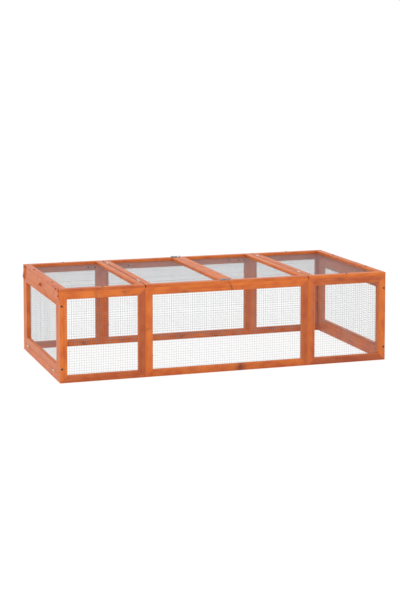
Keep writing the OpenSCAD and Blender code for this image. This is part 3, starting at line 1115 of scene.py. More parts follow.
# The low or left member of each node, and then the high or right one.
LOOKS: dict[str, tuple[Look, Look]] = {
    "front_left_stiles": (Look(0.0), Look(0.86, 0.05)),
    "front_left_rails": (
        Look(0.62, 0.05),
        Look(0.02, 0.0, (Knot(0.754, 0.42, 12, 6, 0.55), Knot(0.42, 0.5, 7, 24, 0.35))),
    ),
    "front_centre_stiles": (Look(0.0, 0.0, (Knot(0.54, 0.45, 5, 20, 0.34, 14.0),)), Look(0.72)),
    "front_centre_rails": (
        Look(0.30, 0.0, (Knot(0.575, 0.60, 16, 26, 0.80),)),
        Look(0.0, 0.0, (Knot(0.517, 0.55, 4, 30, 0.62, 20.0), Knot(0.235, 0.78, 26, 8, 0.50))),
    ),
    "front_right_stiles": (Look(0.50), Look(0.05)),
    "front_right_rails": (
        Look(0.92, 0.0, (Knot(0.62, 0.5, 14, 6, 0.35),)),
        Look(0.52, 0.05, (Knot(0.398, 0.3, 18, 8, 0.35),)),
    ),
    "back_left_stiles": (Look(0.05), Look(0.20, 0.05)),
    "back_left_rails": (
        Look(0.0, 0.0, (Knot(0.755, 0.62, 12, 8, 0.7), Knot(0.42, 0.5, 12, 9, 0.6))),
        Look(0.0),
    ),
    "back_centre_stiles": (Look(0.0), Look(0.30, 0.05)),
    "back_centre_rails": (
        Look(0.0, 0.0, (Knot(0.524, 0.60, 14, 8, 0.6), Knot(0.757, 0.85, 12, 7, 0.6))),
        Look(0.0),
    ),
    "back_right_stiles": (Look(0.0), Look(0.10, 0.55)),
    "left_end_posts": (Look(0.12), PLAIN),
    **{node: (PLAIN, PLAIN)
       for node in ("left_end_rails", "end_door_stiles", "end_door_rails", "right_end_stiles")},
    "right_end_rails": (Look(0.0), PLAIN),
    "roof_left_rails": (Look(0.45, 0.05), Look(0.15)),
    "roof_right_rails": (PLAIN, Look(0.15)),
    "lid_left_rails": (Look(0.18), Look(0.15, 0.0, (Knot(0.70, 0.2, 8, 4, 0.5),))),
    "lid_right_rails": (Look(0.12), Look(0.15)),
}


@dataclass
class Stick:
    """One length of timber.

    Attributes:
        outline: its corners on the plane, as seen along the plane's third axis.
        plane: where the outline lies.
        thickness: how far the stick goes along the plane's third axis.
        along: the grain's direction.
        look: how it took the stain.
        name: what seeds its grain.
        ease: the radius of its long edges.
        seams: the places along the run of the faces that lie in a hinge seam, which get painted
            shade.
    """

    outline: Sequence[Pair]
    plane: Plane
    thickness: float
    along: Vector
    look: Look
    name: str
    ease: float
    seams: Sequence[float] = ()

    SAWN_EDGE = 0.3 * MM
    # How strong the painted shade is in the left and the right hinge seam, as negative marks.
    LEFT_GRIME, RIGHT_GRIME = -1.0, -0.35

    def add_to(self, draft: Draft) -> None:
        """Cuts the stick and adds it with its grain.

        Args:
            draft: the piece that takes it.
        """
        solid = bevelled(self.outline, self.plane, self.thickness, self.ease, self.SAWN_EDGE,
                         self.along)
        marks = solid.faces.layers.float["eased"]
        # Faces in a hinge seam are marked for painted shade, darker in the left seam.
        for face in solid.faces:
            place = face.calc_center_median().x
            if abs(face.normal.x) > 0.9 and any(abs(place - x) < MM for x in self.seams):
                face[marks] = self.LEFT_GRIME if place < 0 else self.RIGHT_GRIME
        add_solid(draft, solid, self._figure)

    def _figure(self, points: np.ndarray) -> dict[str, np.ndarray]:
        """Works out the grain, tone and knots at each corner.

        Args:
            points: the stick's corners.

        Returns:
            The vectors that the stain's shader reads, by name.
        """
        rng = random.Random(self.name + " grain")
        run, deep = np.array(self.along[:]), np.array(self.plane.n[:])
        wide = np.cross(deep, run)
        place = points @ np.stack([run, wide, deep]).T
        low, size = place.min(0), np.ptp(place, axis=0)
        pith = (rng.uniform(-0.4, 1.4) * size[1], rng.choice((-1, 1)) * rng.uniform(22, 60) * MM)
        local = place - low
        ones = np.ones((len(points), 1))
        figure = {
            "grain": local + np.array([rng.uniform(0, 40), -pith[0], -pith[1]]),
            "along": ones * run,
            "tone": ones * np.array([self.look.dullness, self.look.redness, rng.uniform(0.7, 1.0)]),
        }
        for name, knot in zip(KNOT_DATA, (*self.look.knots, NO_KNOT, NO_KNOT)):
            away = local[:, :2] - np.array([knot.along, knot.across]) * size[:2]
            c, t = math.cos(math.radians(knot.lean)), math.sin(math.radians(knot.lean))
            figure[name] = np.stack([
                (away[:, 0] * c - away[:, 1] * t) / (knot.length * MM),
                (away[:, 0] * t + away[:, 1] * c) / (knot.width * MM),
                ones[:, 0] * knot.strength,
            ], axis=1)
        return figure


def paired_outlines(length: float, height: float, width: float, level: bool, mitred: bool
                    ) -> list[list[Pair]]:
    """Outlines the two level or the two upright members of a frame.

    Args:
        length: the frame's length.
        height: the frame's height.
        width: the members' width.
        level: whether the level ones are wanted.
        mitred: whether their ends are cut at 45 degrees.

    Returns:
        The outline of the low or left member, and of the high or right one.
    """
    mitre = width if mitred else 0.0
    if level:
        low = [(0.0, 0.0), (length, 0.0), (length - mitre, width), (mitre, width)]
        return [low, [(u, height - v) for u, v in low[::-1]]]
    left = [(0.0, 0.0), (width, mitre), (width, height - mitre), (0.0, height)]
    return [left, [(length - u, v) for u, v in left[::-1]]]


@dataclass(frozen=True)
class Cut:
    """How the members of one frame are cut.

    Attributes:
        width: the members' width.
        mitred: whether they meet at mitres.
        ease: the radius of their long edges.
        dull: the range of dullness where no look is listed.
        spread: how far they go past the CAD's edges, at the low and the high end of the
            plane's two axes.
        low_extra: what the low member is wider than the high one.
    """

    width: float = 38 * MM
    mitred: bool = True
    ease: float = 2.2 * MM
    dull: Pair = (0.0, 0.15)
    spread: tuple[Pair, Pair] = ((0.0, 0.0), (0.0, 0.0))
    low_extra: float = 0.0


@dataclass
class TimberYard:
    """Cuts the pairs of members that the CAD nodes hold.

    Attributes:
        shop: where the pieces are shown.
        hinge_seam: how far the seams with the lids' hinges are from the run's middle.
        seam_reach: how far from a seam's middle its faces may be.
    """

    shop: Workshop
    hinge_seam: float = 450 * MM
    seam_reach: float = 4 * MM

    def cut_pair(self, node: str, side: Side, level: bool, cut: Cut) -> None:
        """Cuts the two members of one node.

        Args:
            node: the CAD node that holds them.
            side: the side of the run where they lie.
            level: whether they are the level ones.
            cut: how they are cut.
        """
        low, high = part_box(node)
        size = high - low
        plane = side.plane(low)
        (u0, u1), (v0, v1) = cut.spread
        length, height = size.dot(plane.u) + u0 + u1, size.dot(plane.v) + v0 + v1
        plane = Plane(plane.at(-u0, -v0), plane.u, plane.v, plane.n)
        looks = LOOKS.get(node) or [Look.chance(f"{node} {i}", cut.dull) for i in range(2)]
        # Faces that lie in a hinge seam of the roof get painted shade.
        seams = [x for x in (low.x, high.x)
                 if side is Side.ROOF and abs(abs(x) - self.hinge_seam) < self.seam_reach]
        draft = Draft()
        for i in range(2):
            width = cut.width + (cut.low_extra if i == 0 else 0.0)
            outline = paired_outlines(length, height, width, level, cut.mitred)[i]
            Stick(outline, plane, size.dot(plane.n), plane.u if level else plane.v, looks[i],
                  f"{node} {i}", cut.ease, seams).add_to(draft)
        self.shop.show(f"{node}_timber", draft, Slot.TIMBER, node)


# ---- Nets ------------------------------------------------------------------------

WIRE_SIDES = 6


@dataclass
class Net:
    """A sheet of welded wire and the staples that hold it to its frame.

    Attributes:
        shop: where the pieces are shown.
        node: the CAD node that the net stands for.
        side: the side of the run where it lies.
        pitch: the distance from wire to wire.
        radius: the wires' radius.
        weld: how far the second layer stands off the first, as a share of two radii.
        stretch: the length of wire between small bends.
        wander: how far the bends lead a wire off its line.
        lap: how far the net lies on the timber.
        staple_step: the distance from staple to staple.
        staple_width: a staple's width.
        staple_leg: how far it goes into the timber.
        staple_wire: the radius of its wire.
    """

    shop: Workshop
    node: str
    side: Side
    pitch: float = 12.7 * MM
    radius: float = 0.40 * MM
    weld: float = 0.80
    stretch: float = 90 * MM
    wander: float = 0.05 * MM
    lap: float = 12 * MM
    staple_step: float = 82 * MM
    staple_width: float = 9 * MM
    staple_leg: float = 6 * MM
    staple_wire: float = 0.45 * MM

    def build(self) -> None:
        """Makes the wires and the staples."""
        low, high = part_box(self.node)
        inward = self.side.inward
        face = low if inward > 0 else high
        plane = self.side.plane(low, face[self.side.through])
        size = high - low
        length, height = size.dot(plane.u), size.dot(plane.v)
        into = plane.n * inward
        wires = Draft()
        rng = random.Random(self.node)
        second = self.radius * (1 + 2 * self.weld)
        self._layer(wires, plane, length, height, into * self.radius, True, rng)
        self._layer(wires, plane, length, height, into * second, False, rng)
        self.shop.show(f"{self.node}_wires", wires, Slot.WIRE, self.node)
        self._staples(plane, length, height, into, second + self.radius, rng)

    def _layer(self, draft: Draft, plane: Plane, length: float, height: float, off: Vector,
               upright: bool, rng: random.Random) -> None:
        """Adds all the wires that run one way.

        Args:
            draft: the net's draft.
            plane: the timber's face.
            length: the net's length.
            height: the net's height.
            off: the step from the timber's face to the wires' middle.
            upright: whether these wires run along the plane's second axis.
            rng: draws their small bends.
        """
        span, reach = (length, height) if upright else (height, length)
        count = int(span / self.pitch)
        margin = (span - count * self.pitch) / 2
        pieces = max(2, round(reach / self.stretch))
        for i in range(count + 1):
            place = margin + i * self.pitch
            path = []
            for k in range(pieces + 1):
                drift = place + rng.uniform(-1, 1) * self.wander * (0 < k < pieces)
                run = reach * k / pieces
                u, v = (drift, run) if upright else (run, drift)
                path.append(plane.at(u, v) + off)
            add_tube(draft, path, self.radius, plane.n, WIRE_SIDES)

    def _staples(self, plane: Plane, length: float, height: float, into: Vector, top: float,
                 rng: random.Random) -> None:
        """Makes the staples along the lap of the net.

        Args:
            plane: the timber's face.
            length: the net's length.
            height: the net's height.
            into: the direction from the timber to the net.
            top: how far the net stands off the timber.
            rng: draws their small turns.
        """
        draft = Draft()
        inset = self.lap / 2
        for start, run, reach in (
            ((inset, inset), (1, 0), length - 2 * inset),
            ((inset, height - inset), (1, 0), length - 2 * inset),
            ((inset, inset), (0, 1), height - 2 * inset),
            ((length - inset, inset), (0, 1), height - 2 * inset),
        ):
            count = max(2, round(reach / self.staple_step))
            for i in range(count):
                away = reach * (i + 0.5) / count + rng.uniform(-6, 6) * MM
                spot = plane.at(start[0] + run[0] * away, start[1] + run[1] * away)
                lean = math.atan2(run[1], run[0]) + rng.uniform(-0.25, 0.25)
                self._staple(draft, spot, plane, into, lean, top)
        self.shop.show(f"{self.node.removesuffix('_mesh')}_staples", draft, Slot.WIRE,
                       self.node, replaced=False)

    def _staple(self, draft: Draft, spot: Vector, plane: Plane, into: Vector, lean: float,
                top: float) -> None:
        """Adds one staple.

        Args:
            draft: the staples' draft.
            spot: its middle on the timber's face.
            plane: the timber's face.
            into: the direction from the timber to the net.
            lean: its turn on the face.
            top: how far its crown stands off the timber.
        """
        crown = plane.u * math.cos(lean) + plane.v * math.sin(lean)
        half, bend = self.staple_width / 2, 0.9 * MM
        crest = top + self.staple_wire * 0.6
        arch = [(-half, -self.staple_leg), (-half, crest - bend),
                (-half + 0.3 * MM, crest - 0.25 * MM), (-half + bend, crest)]
        arch += [(-s, h) for s, h in arch[::-1]]
        path = [spot + crown * s + into * h for s, h in arch]
        add_tube(draft, path, self.staple_wire, crown.cross(into).normalized(), WIRE_SIDES)


# ---- Walls, ends and roof --------------------------------------------------------


@dataclass
class NetFrame:
    """Two uprights, two level members and a net: a wall panel, the door or a roof frame.

    Attributes:
        yard: where the timber is cut.
        name: what its CAD nodes' names start with.
        side: the side of the run where it lies.
        cut: how its members are cut.
    """

    yard: TimberYard
    name: str
    side: Side
    cut: Cut

    def build(self) -> None:
        """Makes the frame's members and its net."""
        self.yard.cut_pair(f"{self.name}_stiles", self.side, False, self.cut)
        self.yard.cut_pair(f"{self.name}_rails", self.side, True, self.cut)
        Net(self.yard.shop, f"{self.name}_mesh", self.side).build()


@dataclass
class LeftEnd:
    """The posts and rails round the drop-down door, and the door itself.

    Attributes:
        yard: where the timber is cut.
        post: the posts' width.
        rail: the rails' width.
        ease: the radius of the long edges, which are crisper here.
        play: how far the door's members reach into the seam at its top and sides.
        let_in: how far rail and door reach over the hinge leaves at the door's foot.
    """

    yard: TimberYard
    post: float = 25 * MM
    rail: float = 38 * MM
    ease: float = 0.45 * MM
    play: float = 1.2 * MM
    let_in: float = 2.0 * MM

    def build(self) -> None:
        """Makes the posts, the rails and the door."""
        posts = Cut(self.post, False, self.ease)
        rails = Cut(self.rail, False, self.ease, low_extra=self.let_in)
        door = Cut(ease=self.ease, spread=((self.play, self.play), (self.let_in, self.play)))
        self.yard.cut_pair("left_end_posts", Side.LEFT, False, posts)
        self.yard.cut_pair("left_end_rails", Side.LEFT, True, rails)
        NetFrame(self.yard, "end_door", Side.LEFT, door).build()


@dataclass
class RightEnd:
    """The wide uprights and boards of the fixed end, with their net.

    Attributes:
        yard: where the timber is cut.
        stile: the uprights' width.
        board: the boards' width.
        dull: the least and the most dullness of a member whose look isn't listed.
    """

    yard: TimberYard
    stile: float = 63 * MM
    board: float = 76 * MM
    dull: Pair = (0.0, 0.1)

    def build(self) -> None:
        """Makes the uprights, the boards and the net."""
        for node, width, level in (("right_end_stiles", self.stile, False),
                                   ("right_end_rails", self.board, True)):
            self.yard.cut_pair(node, Side.RIGHT, level, Cut(width, False, dull=self.dull))
        Net(self.yard.shop, "right_end_mesh", Side.RIGHT).build()


# ---- Hinges ----------------------------------------------------------------------


@dataclass
class ButtHinges:
    """The lids' and the end door's butt hinges, which stand in the seams.

    Attributes:
        shop: where the pieces are shown.
        leaf: the leaves' thickness.
        knuckle: the knuckles' outer radius.
        bore: their inner radius.
        length: the leaves' length.
        gap: the play between the knuckles.
        corner: the radius of the leaves' corners.
    """

    shop: Workshop
    leaf: float = 1.0 * MM
    knuckle: float = 2.9 * MM
    bore: float = 1.32 * MM
    length: float = 40 * MM
    gap: float = 0.3 * MM
    corner: float = 2.5 * MM

    def build(self) -> None:
        """Makes the pins and the leaves of all six hinges."""
        for pins, fixed, moving in (
            ("lid_hinge_pins", "lid_hinge_frame_leaves",
             ("lid_left_hinge_leaves", "lid_right_hinge_leaves")),
            ("end_hinge_pins", "end_hinge_frame_leaves", ("end_hinge_door_leaves",)),
        ):
            self._pins(pins)
            self._leaves(fixed, False, pins)
            for node in moving:
                self._leaves(node, True, pins)

    def _pins(self, node: str) -> None:
        """Makes the pins of one node, with domed ends.

        Args:
            node: the pins' CAD node.
        """
        draft = Draft()
        for points in islands(node):
            low, high = box_of(points)
            half, radius = (high.y - low.y) / 2, (high.z - low.z) / 2
            dome = 0.5 * radius
            profile = [(0.0, half), (radius * 0.5, half - dome * 0.2),
                       (radius * 0.87, half - dome * 0.5), (radius, half - dome)]
            profile += [(r, -h) for r, h in profile[::-1]]
            place = Matrix.Translation((low + high) / 2) @ Matrix.Rotation(math.pi / 2, 4, "X")
            add_turned(draft, profile, place)
        self.shop.show(f"{node}_turned", draft, Slot.ZINC, node)

    def _leaves(self, node: str, moving: bool, pins: str) -> None:
        """Makes the leaves of one node.

        Args:
            node: the leaves' CAD node.
            moving: whether they are on the lid or the door, with the middle knuckle.
            pins: the node with the pins that they turn on.
        """
        draft = Draft()
        middles = [(low + high) / 2 for low, high in map(box_of, islands(pins))]
        third = self.length / 3
        runs = [(-third / 2 + self.gap, third / 2 - self.gap)] if moving else [
            (-self.length / 2, -third / 2), (third / 2, self.length / 2)]
        for points in islands(node):
            low, high = box_of(points)
            middle = min(middles, key=lambda m: (m - (low + high) / 2).length)
            self._plate(draft, points - np.array(middle[:]), middle, runs)
            for start, end in runs:
                self._knuckle(draft, middle, start, end)
        self.shop.show(f"{node}_pressed", draft, Slot.ZINC, node)

    def _plate(self, draft: Draft, reach: np.ndarray, middle: Vector, runs: Sequence[Pair]) -> None:
        """Adds a leaf's flat plate and the strips that curl up to its knuckles.

        Args:
            draft: the leaves' draft.
            reach: the leaf's corners, as seen from the middle of its pin.
            middle: the middle of its pin.
            runs: where its knuckles lie along the pin.
        """
        spans = np.ptp(reach, axis=0)
        inward, across = (2, 0) if spans[2] > spans[0] else (0, 2)
        # What is clear of the knuckles is the flat part of the leaf.
        flat = reach[np.abs(reach[:, inward]) > 2 * self.knuckle]
        away, side = np.sign(flat[:, inward].mean()), np.sign(flat[:, across].mean())
        depth, half_seam = (float(np.abs(flat[:, axis]).max()) for axis in (inward, across))
        normal = Vector([float(side) * (i == across) for i in range(3)])
        down = Vector([float(away) * (i == inward) for i in range(3)])
        plane = Plane(middle + normal * (half_seam - self.leaf), Y, down, normal)
        half, top, r = self.length / 2, self.knuckle + self.gap, self.corner
        outline = [(-half, top), (half, top)]
        outline += [(half - r * (1 - math.cos(t)), depth - r * (1 - math.sin(t)))
                    for t in (0, math.pi / 6, math.pi / 3, math.pi / 2)]
        outline += [(-u, v) for u, v in outline[:1:-1]]
        add_pressed(draft, outline, plane, self.leaf, 0.25 * MM)
        for start, end in runs:
            strip = [(start, 0.6 * MM), (end, 0.6 * MM), (end, top + 1 * MM), (start, top + 1 * MM)]
            add_pressed(draft, strip, plane, self.leaf, 0.2 * MM)

    def _knuckle(self, draft: Draft, middle: Vector, start: float, end: float) -> None:
        """Adds one rolled knuckle.

        Args:
            draft: the leaves' draft.
            middle: the middle of the pin.
            start: where the knuckle begins along the pin.
            end: where it ends.
        """
        edge = 0.3 * MM
        profile = [(self.bore, start), (self.knuckle - edge, start), (self.knuckle, start + edge),
                   (self.knuckle, end - edge), (self.knuckle - edge, end), (self.bore, end),
                   (self.bore, start)]
        place = Matrix.Translation(middle) @ Matrix.Rotation(-math.pi / 2, 4, "X")
        add_turned(draft, profile, place)


# ---- Lid bolts -------------------------------------------------------------------


@dataclass
class BarrelBolts:
    """The two bolts over the seam between the lids, with their keepers.

    Attributes:
        shop: where the pieces are shown.
        plate: the plates' thickness.
        corner: the radius of the plates' corners.
        loop_inset: how far the loops are from the plate's ends.
        loop_length: the loops' length along the rod.
        strap: the thickness of loops and straps.
        play: the loops' clearance round the rod.
        foot: the length of the loops' feet.
        foot_height: the feet's thickness.
        bend: the size of the bends at the top of a keeper's strap.
        rod: the rod's radius.
        knob: the thumb knob's radius.
        rim: the radius on the rims of loops and straps.
        painted_shade: how far the bolts' zinc is darkened to paint their shade and dark
            reflections, from 0 to 1.
    """

    shop: Workshop
    plate: float = 1.2 * MM
    corner: float = 2.5 * MM
    loop_inset: float = 3 * MM
    loop_length: float = 5 * MM
    strap: float = 1.4 * MM
    play: float = 0.05 * MM
    foot: float = 3.0 * MM
    foot_height: float = 1.0 * MM
    bend: float = 1.1 * MM
    rod: float = 2.6 * MM
    knob: float = 2.2 * MM
    rim: float = 0.2 * MM
    painted_shade: float = 0.7

    def build(self) -> None:
        """Makes the base plates, the keepers and the rods."""
        plates, keepers = Draft(), Draft()
        for points in islands("bolt_plates"):
            low, high = box_of(points)
            self._plate(plates, low, high)
            for start in (low.x + self.loop_inset, high.x - self.loop_inset - self.loop_length):
                self._loop(plates, start, low, high)
        self.shop.show("bolt_plates_pressed", plates, Slot.ZINC, "bolt_plates", painted_shade=self.painted_shade)
        for points in islands("bolt_keepers"):
            low, high = box_of(points)
            self._plate(keepers, low, high)
            strap = points[points[:, 2] > low.z + 2 * self.plate]
            self._staple(keepers, box_of(strap), low)
        self.shop.show("bolt_keepers_pressed", keepers, Slot.ZINC, "bolt_keepers", painted_shade=self.painted_shade)
        for node in ("front_bolt_rod", "back_bolt_rod"):
            self._rod(node)

    def _plate(self, draft: Draft, low: Vector, high: Vector) -> None:
        """Adds a flat plate with round corners.

        Args:
            draft: the draft that takes it.
            low: the plate's lowest corner.
            high: its highest corner; its height doesn't matter.
        """
        size = high - low
        r = self.corner
        corners = ((r, r, math.pi), (size.x - r, r, 1.5 * math.pi),
                   (size.x - r, size.y - r, 0.0), (r, size.y - r, 0.5 * math.pi))
        outline = [(x + r * math.cos(a + k * math.pi / 8), y + r * math.sin(a + k * math.pi / 8))
                   for x, y, a in corners for k in range(5)]
        add_pressed(draft, outline, Plane(low, X, Y, Z), self.plate, 0.3 * MM)

    def _loop(self, draft: Draft, start: float, low: Vector, high: Vector) -> None:
        """Adds a pressed strap with feet, which the rod slides in.

        Args:
            draft: the plates' draft.
            start: where it begins along the rod.
            low: the plate's lowest corner.
            high: the plate's highest corner, at the top of its loops.
        """
        inner = self.rod + self.play
        outer, thick = inner + self.strap, self.foot_height
        axis, floor = high.z - outer, low.z + self.plate
        arc = [math.pi * k / 10 for k in range(11)]
        rim = [(outer * math.cos(a), axis - floor + outer * math.sin(a)) for a in arc]
        bore = [(inner * math.cos(a), axis - floor + inner * math.sin(a)) for a in arc[::-1]]
        outline = [(outer + self.foot, 0.0), (outer + self.foot, thick), (outer + 0.3 * MM, thick)]
        outline += [*rim, (-outer - 0.3 * MM, thick), (-outer - self.foot, thick),
                    (-outer - self.foot, 0.0), (-inner, 0.0)]
        outline += [*bore, (inner, 0.0)]
        middle = Vector((start, (low.y + high.y) / 2, floor))
        add_pressed(draft, outline, Plane(middle, Y, Z, X), self.loop_length, self.rim)

    def _staple(self, draft: Draft, box: tuple[Vector, Vector], foot: Vector) -> None:
        """Adds the keeper's square strap.

        Args:
            draft: the keepers' draft.
            box: the strap's lowest and highest corner above its plate.
            foot: the keeper's lowest corner.
        """
        low, high = box
        half, inner = (high.y - low.y) / 2, (high.y - low.y) / 2 - self.strap
        floor = foot.z + self.plate
        top, ceiling, bend = high.z - floor, high.z - floor - self.strap, self.bend
        outline = [(inner, 0.0), (half, 0.0), (half, top - bend),
                   (half - bend * 0.3, top - bend * 0.3), (half - bend, top)]
        outline += [(-u, v) for u, v in outline[::-1]]
        outline += [(-inner, ceiling), (inner, ceiling)]
        middle = Vector((low.x, (low.y + high.y) / 2, floor))
        add_pressed(draft, outline, Plane(middle, Y, Z, X), high.x - low.x, self.rim)

    def _rod(self, node: str) -> None:
        """Makes one sliding rod with its turned thumb knob.

        Args:
            node: the rod's CAD node.
        """
        low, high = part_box(node)
        axis = Vector((0, (low.y + high.y) / 2, low.z + self.rod))
        r, edge = self.rod, 0.7 * MM
        profile = [(0.0, low.x), (r - edge, low.x), (r, low.x + edge), (r, high.x - 2 * edge),
                   (r * 0.86, high.x - 0.5 * edge), (r * 0.6, high.x), (0.0, high.x)]
        draft = Draft()
        add_turned(draft, profile, Matrix.Translation(axis) @ Matrix.Rotation(math.pi / 2, 4, "Y"))
        k, height = self.knob, high.z - axis.z
        knob = [(0.0, 0.0), (k * 0.72, 0.0), (k * 0.72, height - 3.1 * MM),
                (k * 0.62, height - 2.9 * MM), (k * 0.95, height - 2.2 * MM),
                (k, height - 1.4 * MM), (k * 0.86, height - 0.5 * MM),
                (k * 0.5, height - 0.1 * MM), (0.0, height)]
        points = np.concatenate(islands(node))
        left, right = box_of(points[points[:, 2] > high.z - 0.5 * MM])
        foot = Vector(((left.x + right.x) / 2, axis.y, axis.z))
        add_turned(draft, knob, Matrix.Translation(foot))
        self.shop.show(f"{node}_turned", draft, Slot.ZINC, node, painted_shade=self.painted_shade)


# ---- Turn button and corner ties -------------------------------------------------


def clipped(outline: Sequence[Pair], axis: int, limit: float, keep: float) -> list[Pair]:
    """Saws a convex outline along a level or upright line.

    Args:
        outline: its corners.
        axis: 0 for an upright line, 1 for a level one.
        limit: where the line lies.
        keep: 1 to keep what lies above the limit, -1 to keep what lies below.

    Returns:
        The outline that is left.
    """
    left: list[Pair] = []
    for a, b in zip(outline, [*outline[1:], outline[0]]):
        inside_a, inside_b = (keep * (p[axis] - limit) >= 0 for p in (a, b))
        if inside_a:
            left.append(a)
        if inside_a != inside_b:
            t = (limit - a[axis]) / (b[axis] - a[axis])
            left.append((a[0] + t * (b[0] - a[0]), a[1] + t * (b[1] - a[1])))
    return left


@dataclass
class EndFittings:
    """The door's turn button and the two ties across the corners of the left end.

    Attributes:
        yard: where the timber is cut.
        tie_width: the ties' width.
        tie_end: how far a tie goes past its upper screw.
        tie_foot: how far it goes past its lower screw.
        ease: the radius of the long edges.
    """

    yard: TimberYard
    tie_width: float = 28 * MM
    tie_end: float = 6 * MM
    tie_foot: float = 18 * MM
    ease: float = 0.8 * MM

    def build(self) -> None:
        """Makes the button and the ties."""
        self._button()
        self._ties()

    def _button(self) -> None:
        """Makes the turn button, a square-cut slip of timber."""
        low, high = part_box("end_button")
        size = high - low
        outline = [(0.0, 0.0), (size.y, 0.0), (size.y, size.z), (0.0, size.z)]
        self._show("end_button", [(outline, Side.LEFT.plane(low), Y)], size.x)

    def _ties(self) -> None:
        """Makes the two sloping ties, sawn off level and upright as the CAD's are."""
        low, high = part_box("corner_ties")
        places = [ScrewPlace.of(points).top for points in islands("end_hardware_screws")]
        plane = Side.LEFT.plane(Vector((low.x, 0, 0)))
        ties = []
        for side in (-1, 1):
            foot, top = sorted((p for p in places if p.y * side > 0.3), key=lambda p: p.z)
            run = Vector((0, foot.y - top.y, foot.z - top.z)).normalized()
            across = Vector((0, run.z, -run.y)) * (self.tie_width / 2)
            start, end = top - run * self.tie_end, foot + run * self.tie_foot
            corners = (start - across, start + across, end + across, end - across)
            outline = [(c.y, c.z) for c in corners]
            for axis, limit, keep in ((1, high.z, -1), (0, low.y, 1), (0, high.y, -1)):
                outline = clipped(outline, axis, limit, keep)
            ties.append((outline, plane, run))
        self._show("corner_ties", ties, high.x - low.x)

    def _show(self, node: str, cuts: Sequence[tuple[Sequence[Pair], Plane, Vector]],
              thickness: float) -> None:
        """Cuts the sticks of one node.

        Args:
            node: the CAD node that they stand for.
            cuts: each stick's outline, plane and grain.
            thickness: the sticks' thickness.
        """
        draft = Draft()
        for i, (outline, plane, grain) in enumerate(cuts):
            stick = Stick(outline, plane, thickness, grain, Look(0.05), f"{node} {i}", self.ease)
            stick.add_to(draft)
        self.yard.shop.show(f"{node}_timber", draft, Slot.TIMBER, node)


# ---- Studio and camera -----------------------------------------------------------


@dataclass
class Studio:
    """A white room with plain soft light.

    Attributes:
        sky: the strength of the white world.
        floor_drop: how far the floor lies below the run, which keeps their faces apart.
        floor_half: half the floor's length.
        floor_colour: its grey.
        shadow_share: how much of the run's shadow shows on it.
        glow: the strength of the white that the floor shows besides.
        key_place: the lamp's place.
        key_power: its power in watts.
        key_size: its length.
    """

    sky: float = 1.01
    floor_drop: float = 0.5 * MM
    floor_half: float = 14.0
    floor_colour: float = 0.82
    shadow_share: float = 0.15
    glow: float = 1.07
    key_place: tuple[float, float, float] = (-2.6, -4.2, 3.4)
    key_power: float = 30.0
    key_size: float = 2.6

    def build(self) -> None:
        """Makes the world, the floor and the lamp."""
        self._world()
        self._floor()
        self._key()
        bpy.context.scene.view_settings.view_transform = "Standard"

    @staticmethod
    def _seen(g: Graph) -> Sock:
        """Finds the rays that show the room itself or its reflection.

        Args:
            g: the floor's graph.

        Returns:
            1 for these rays and 0 for the others.
        """
        names = ("Is Camera Ray", "Is Glossy Ray", "Is Transmission Ray")
        first, second, third = (g.add("LightPath", name) for name in names)
        return g.math("MAXIMUM", g.math("MAXIMUM", first, second), third)

    def _world(self) -> None:
        """Makes the plain white world, which is most of the light."""
        world = bpy.data.worlds.new("white room")
        world.use_nodes = True
        bpy.context.scene.world = world
        g = Graph(world.node_tree)
        light = g.add("Background", "", None, {"Color": (*WHITE, 1.0), "Strength": self.sky})
        g.add("OutputWorld", "", None, {"Surface": light})

    def _floor(self) -> None:
        """Makes the pale floor, which keeps a share of the run's shadow."""
        draft = Draft()
        half, z = self.floor_half, -self.floor_drop
        draft.add([(-half, -half, z), (half, -half, z), (half, half, z), (-half, half, z)],
                  [(0, 1, 2, 3)], False)
        floor = bpy.data.objects.new("floor", draft.mesh("floor"))
        bpy.context.scene.collection.objects.link(floor)
        material, g = new_material("pale floor")
        floor.data.materials.append(material)
        matt = g.add("BsdfDiffuse", "", None, {"Color": (*[self.floor_colour] * 3, 1.0)})
        glow = g.add("Emission", "", None, {"Color": (*WHITE, 1.0), "Strength": self.glow})
        share = self._seen(g) * (1.0 - self.shadow_share)
        mixed = g.add("MixShader", "", None, {"Fac": share, "Shader": matt, "Shader_001": glow})
        g.add("OutputMaterial", "", None, {"Surface": mixed})

    def _key(self) -> None:
        """Hangs the large soft lamp in front of the run, to the left."""
        light = bpy.data.lights.new("key", "AREA")
        light.energy = self.key_power
        light.size = self.key_size
        lamp = bpy.data.objects.new("key", light)
        bpy.context.scene.collection.objects.link(lamp)
        lamp.location = self.key_place
        lamp.rotation_mode = "QUATERNION"
        lamp.rotation_quaternion = (-lamp.location).to_track_quat("-Z", "Y")


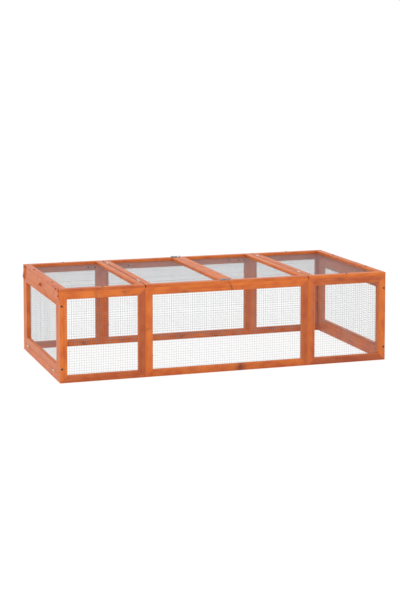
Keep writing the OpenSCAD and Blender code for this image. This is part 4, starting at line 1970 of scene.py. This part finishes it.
@dataclass
class PhotoCamera:
    """The camera of the photograph, fitted to the run's corners in it.

    Attributes:
        place: the lens's place.
        yaw: its turn about the upright, from looking along Y.
        pitch: how far it looks down.
        focal_pixels: the focal length in pixels.
        picture_height: the picture's height in pixels.
        axis_row: the row of pixels that the lens's axis meets.
        sensor: the sensor's width in millimetres.
    """

    place: tuple[float, float, float] = (-2.558, -7.664, 1.723)
    yaw: float = -0.3213
    pitch: float = 0.0810
    focal_pixels: float = 1483.0
    picture_height: int = 600
    axis_row: float = 161.5
    sensor: float = 36.0

    def build(self) -> None:
        """Makes the camera and looks through it."""
        data = bpy.data.cameras.new("photo camera")
        data.sensor_width = self.sensor
        data.lens = self.focal_pixels * self.sensor / self.picture_height
        data.shift_y = (self.axis_row - self.picture_height / 2) / self.picture_height
        camera = bpy.data.objects.new("photo camera", data)
        bpy.context.scene.collection.objects.link(camera)
        camera.location = self.place
        ahead = Vector((-math.sin(self.yaw) * math.cos(self.pitch),
                        math.cos(self.yaw) * math.cos(self.pitch), -math.sin(self.pitch)))
        camera.rotation_mode = "QUATERNION"
        camera.rotation_quaternion = ahead.to_track_quat("-Z", "Y")
        bpy.context.scene.camera = camera


def main() -> None:
    """Builds the room, the camera and every piece of the run."""
    logging.basicConfig(level=logging.INFO, format="%(message)s")
    PhotoCamera().build()
    Studio().build()
    shop = Workshop()
    yard = TimberYard(shop)
    seam_fill = 0.2 * MM
    wall = Cut(spread=((seam_fill, seam_fill), (0.0, 0.0)))
    roof = Cut(ease=0.7 * MM)
    for place in ("left", "centre", "right"):
        NetFrame(yard, f"front_{place}", Side.FRONT, wall).build()
        NetFrame(yard, f"back_{place}", Side.BACK, wall).build()
    LeftEnd(yard).build()
    RightEnd(yard).build()
    for name in ("roof_left", "lid_left", "lid_right", "roof_right"):
        NetFrame(yard, name, Side.ROOF, roof).build()
    EndFittings(yard).build()
    ButtHinges(shop).build()
    BarrelBolts(shop).build()
    Screws(shop).build()


if __name__ == "__main__":
    main()
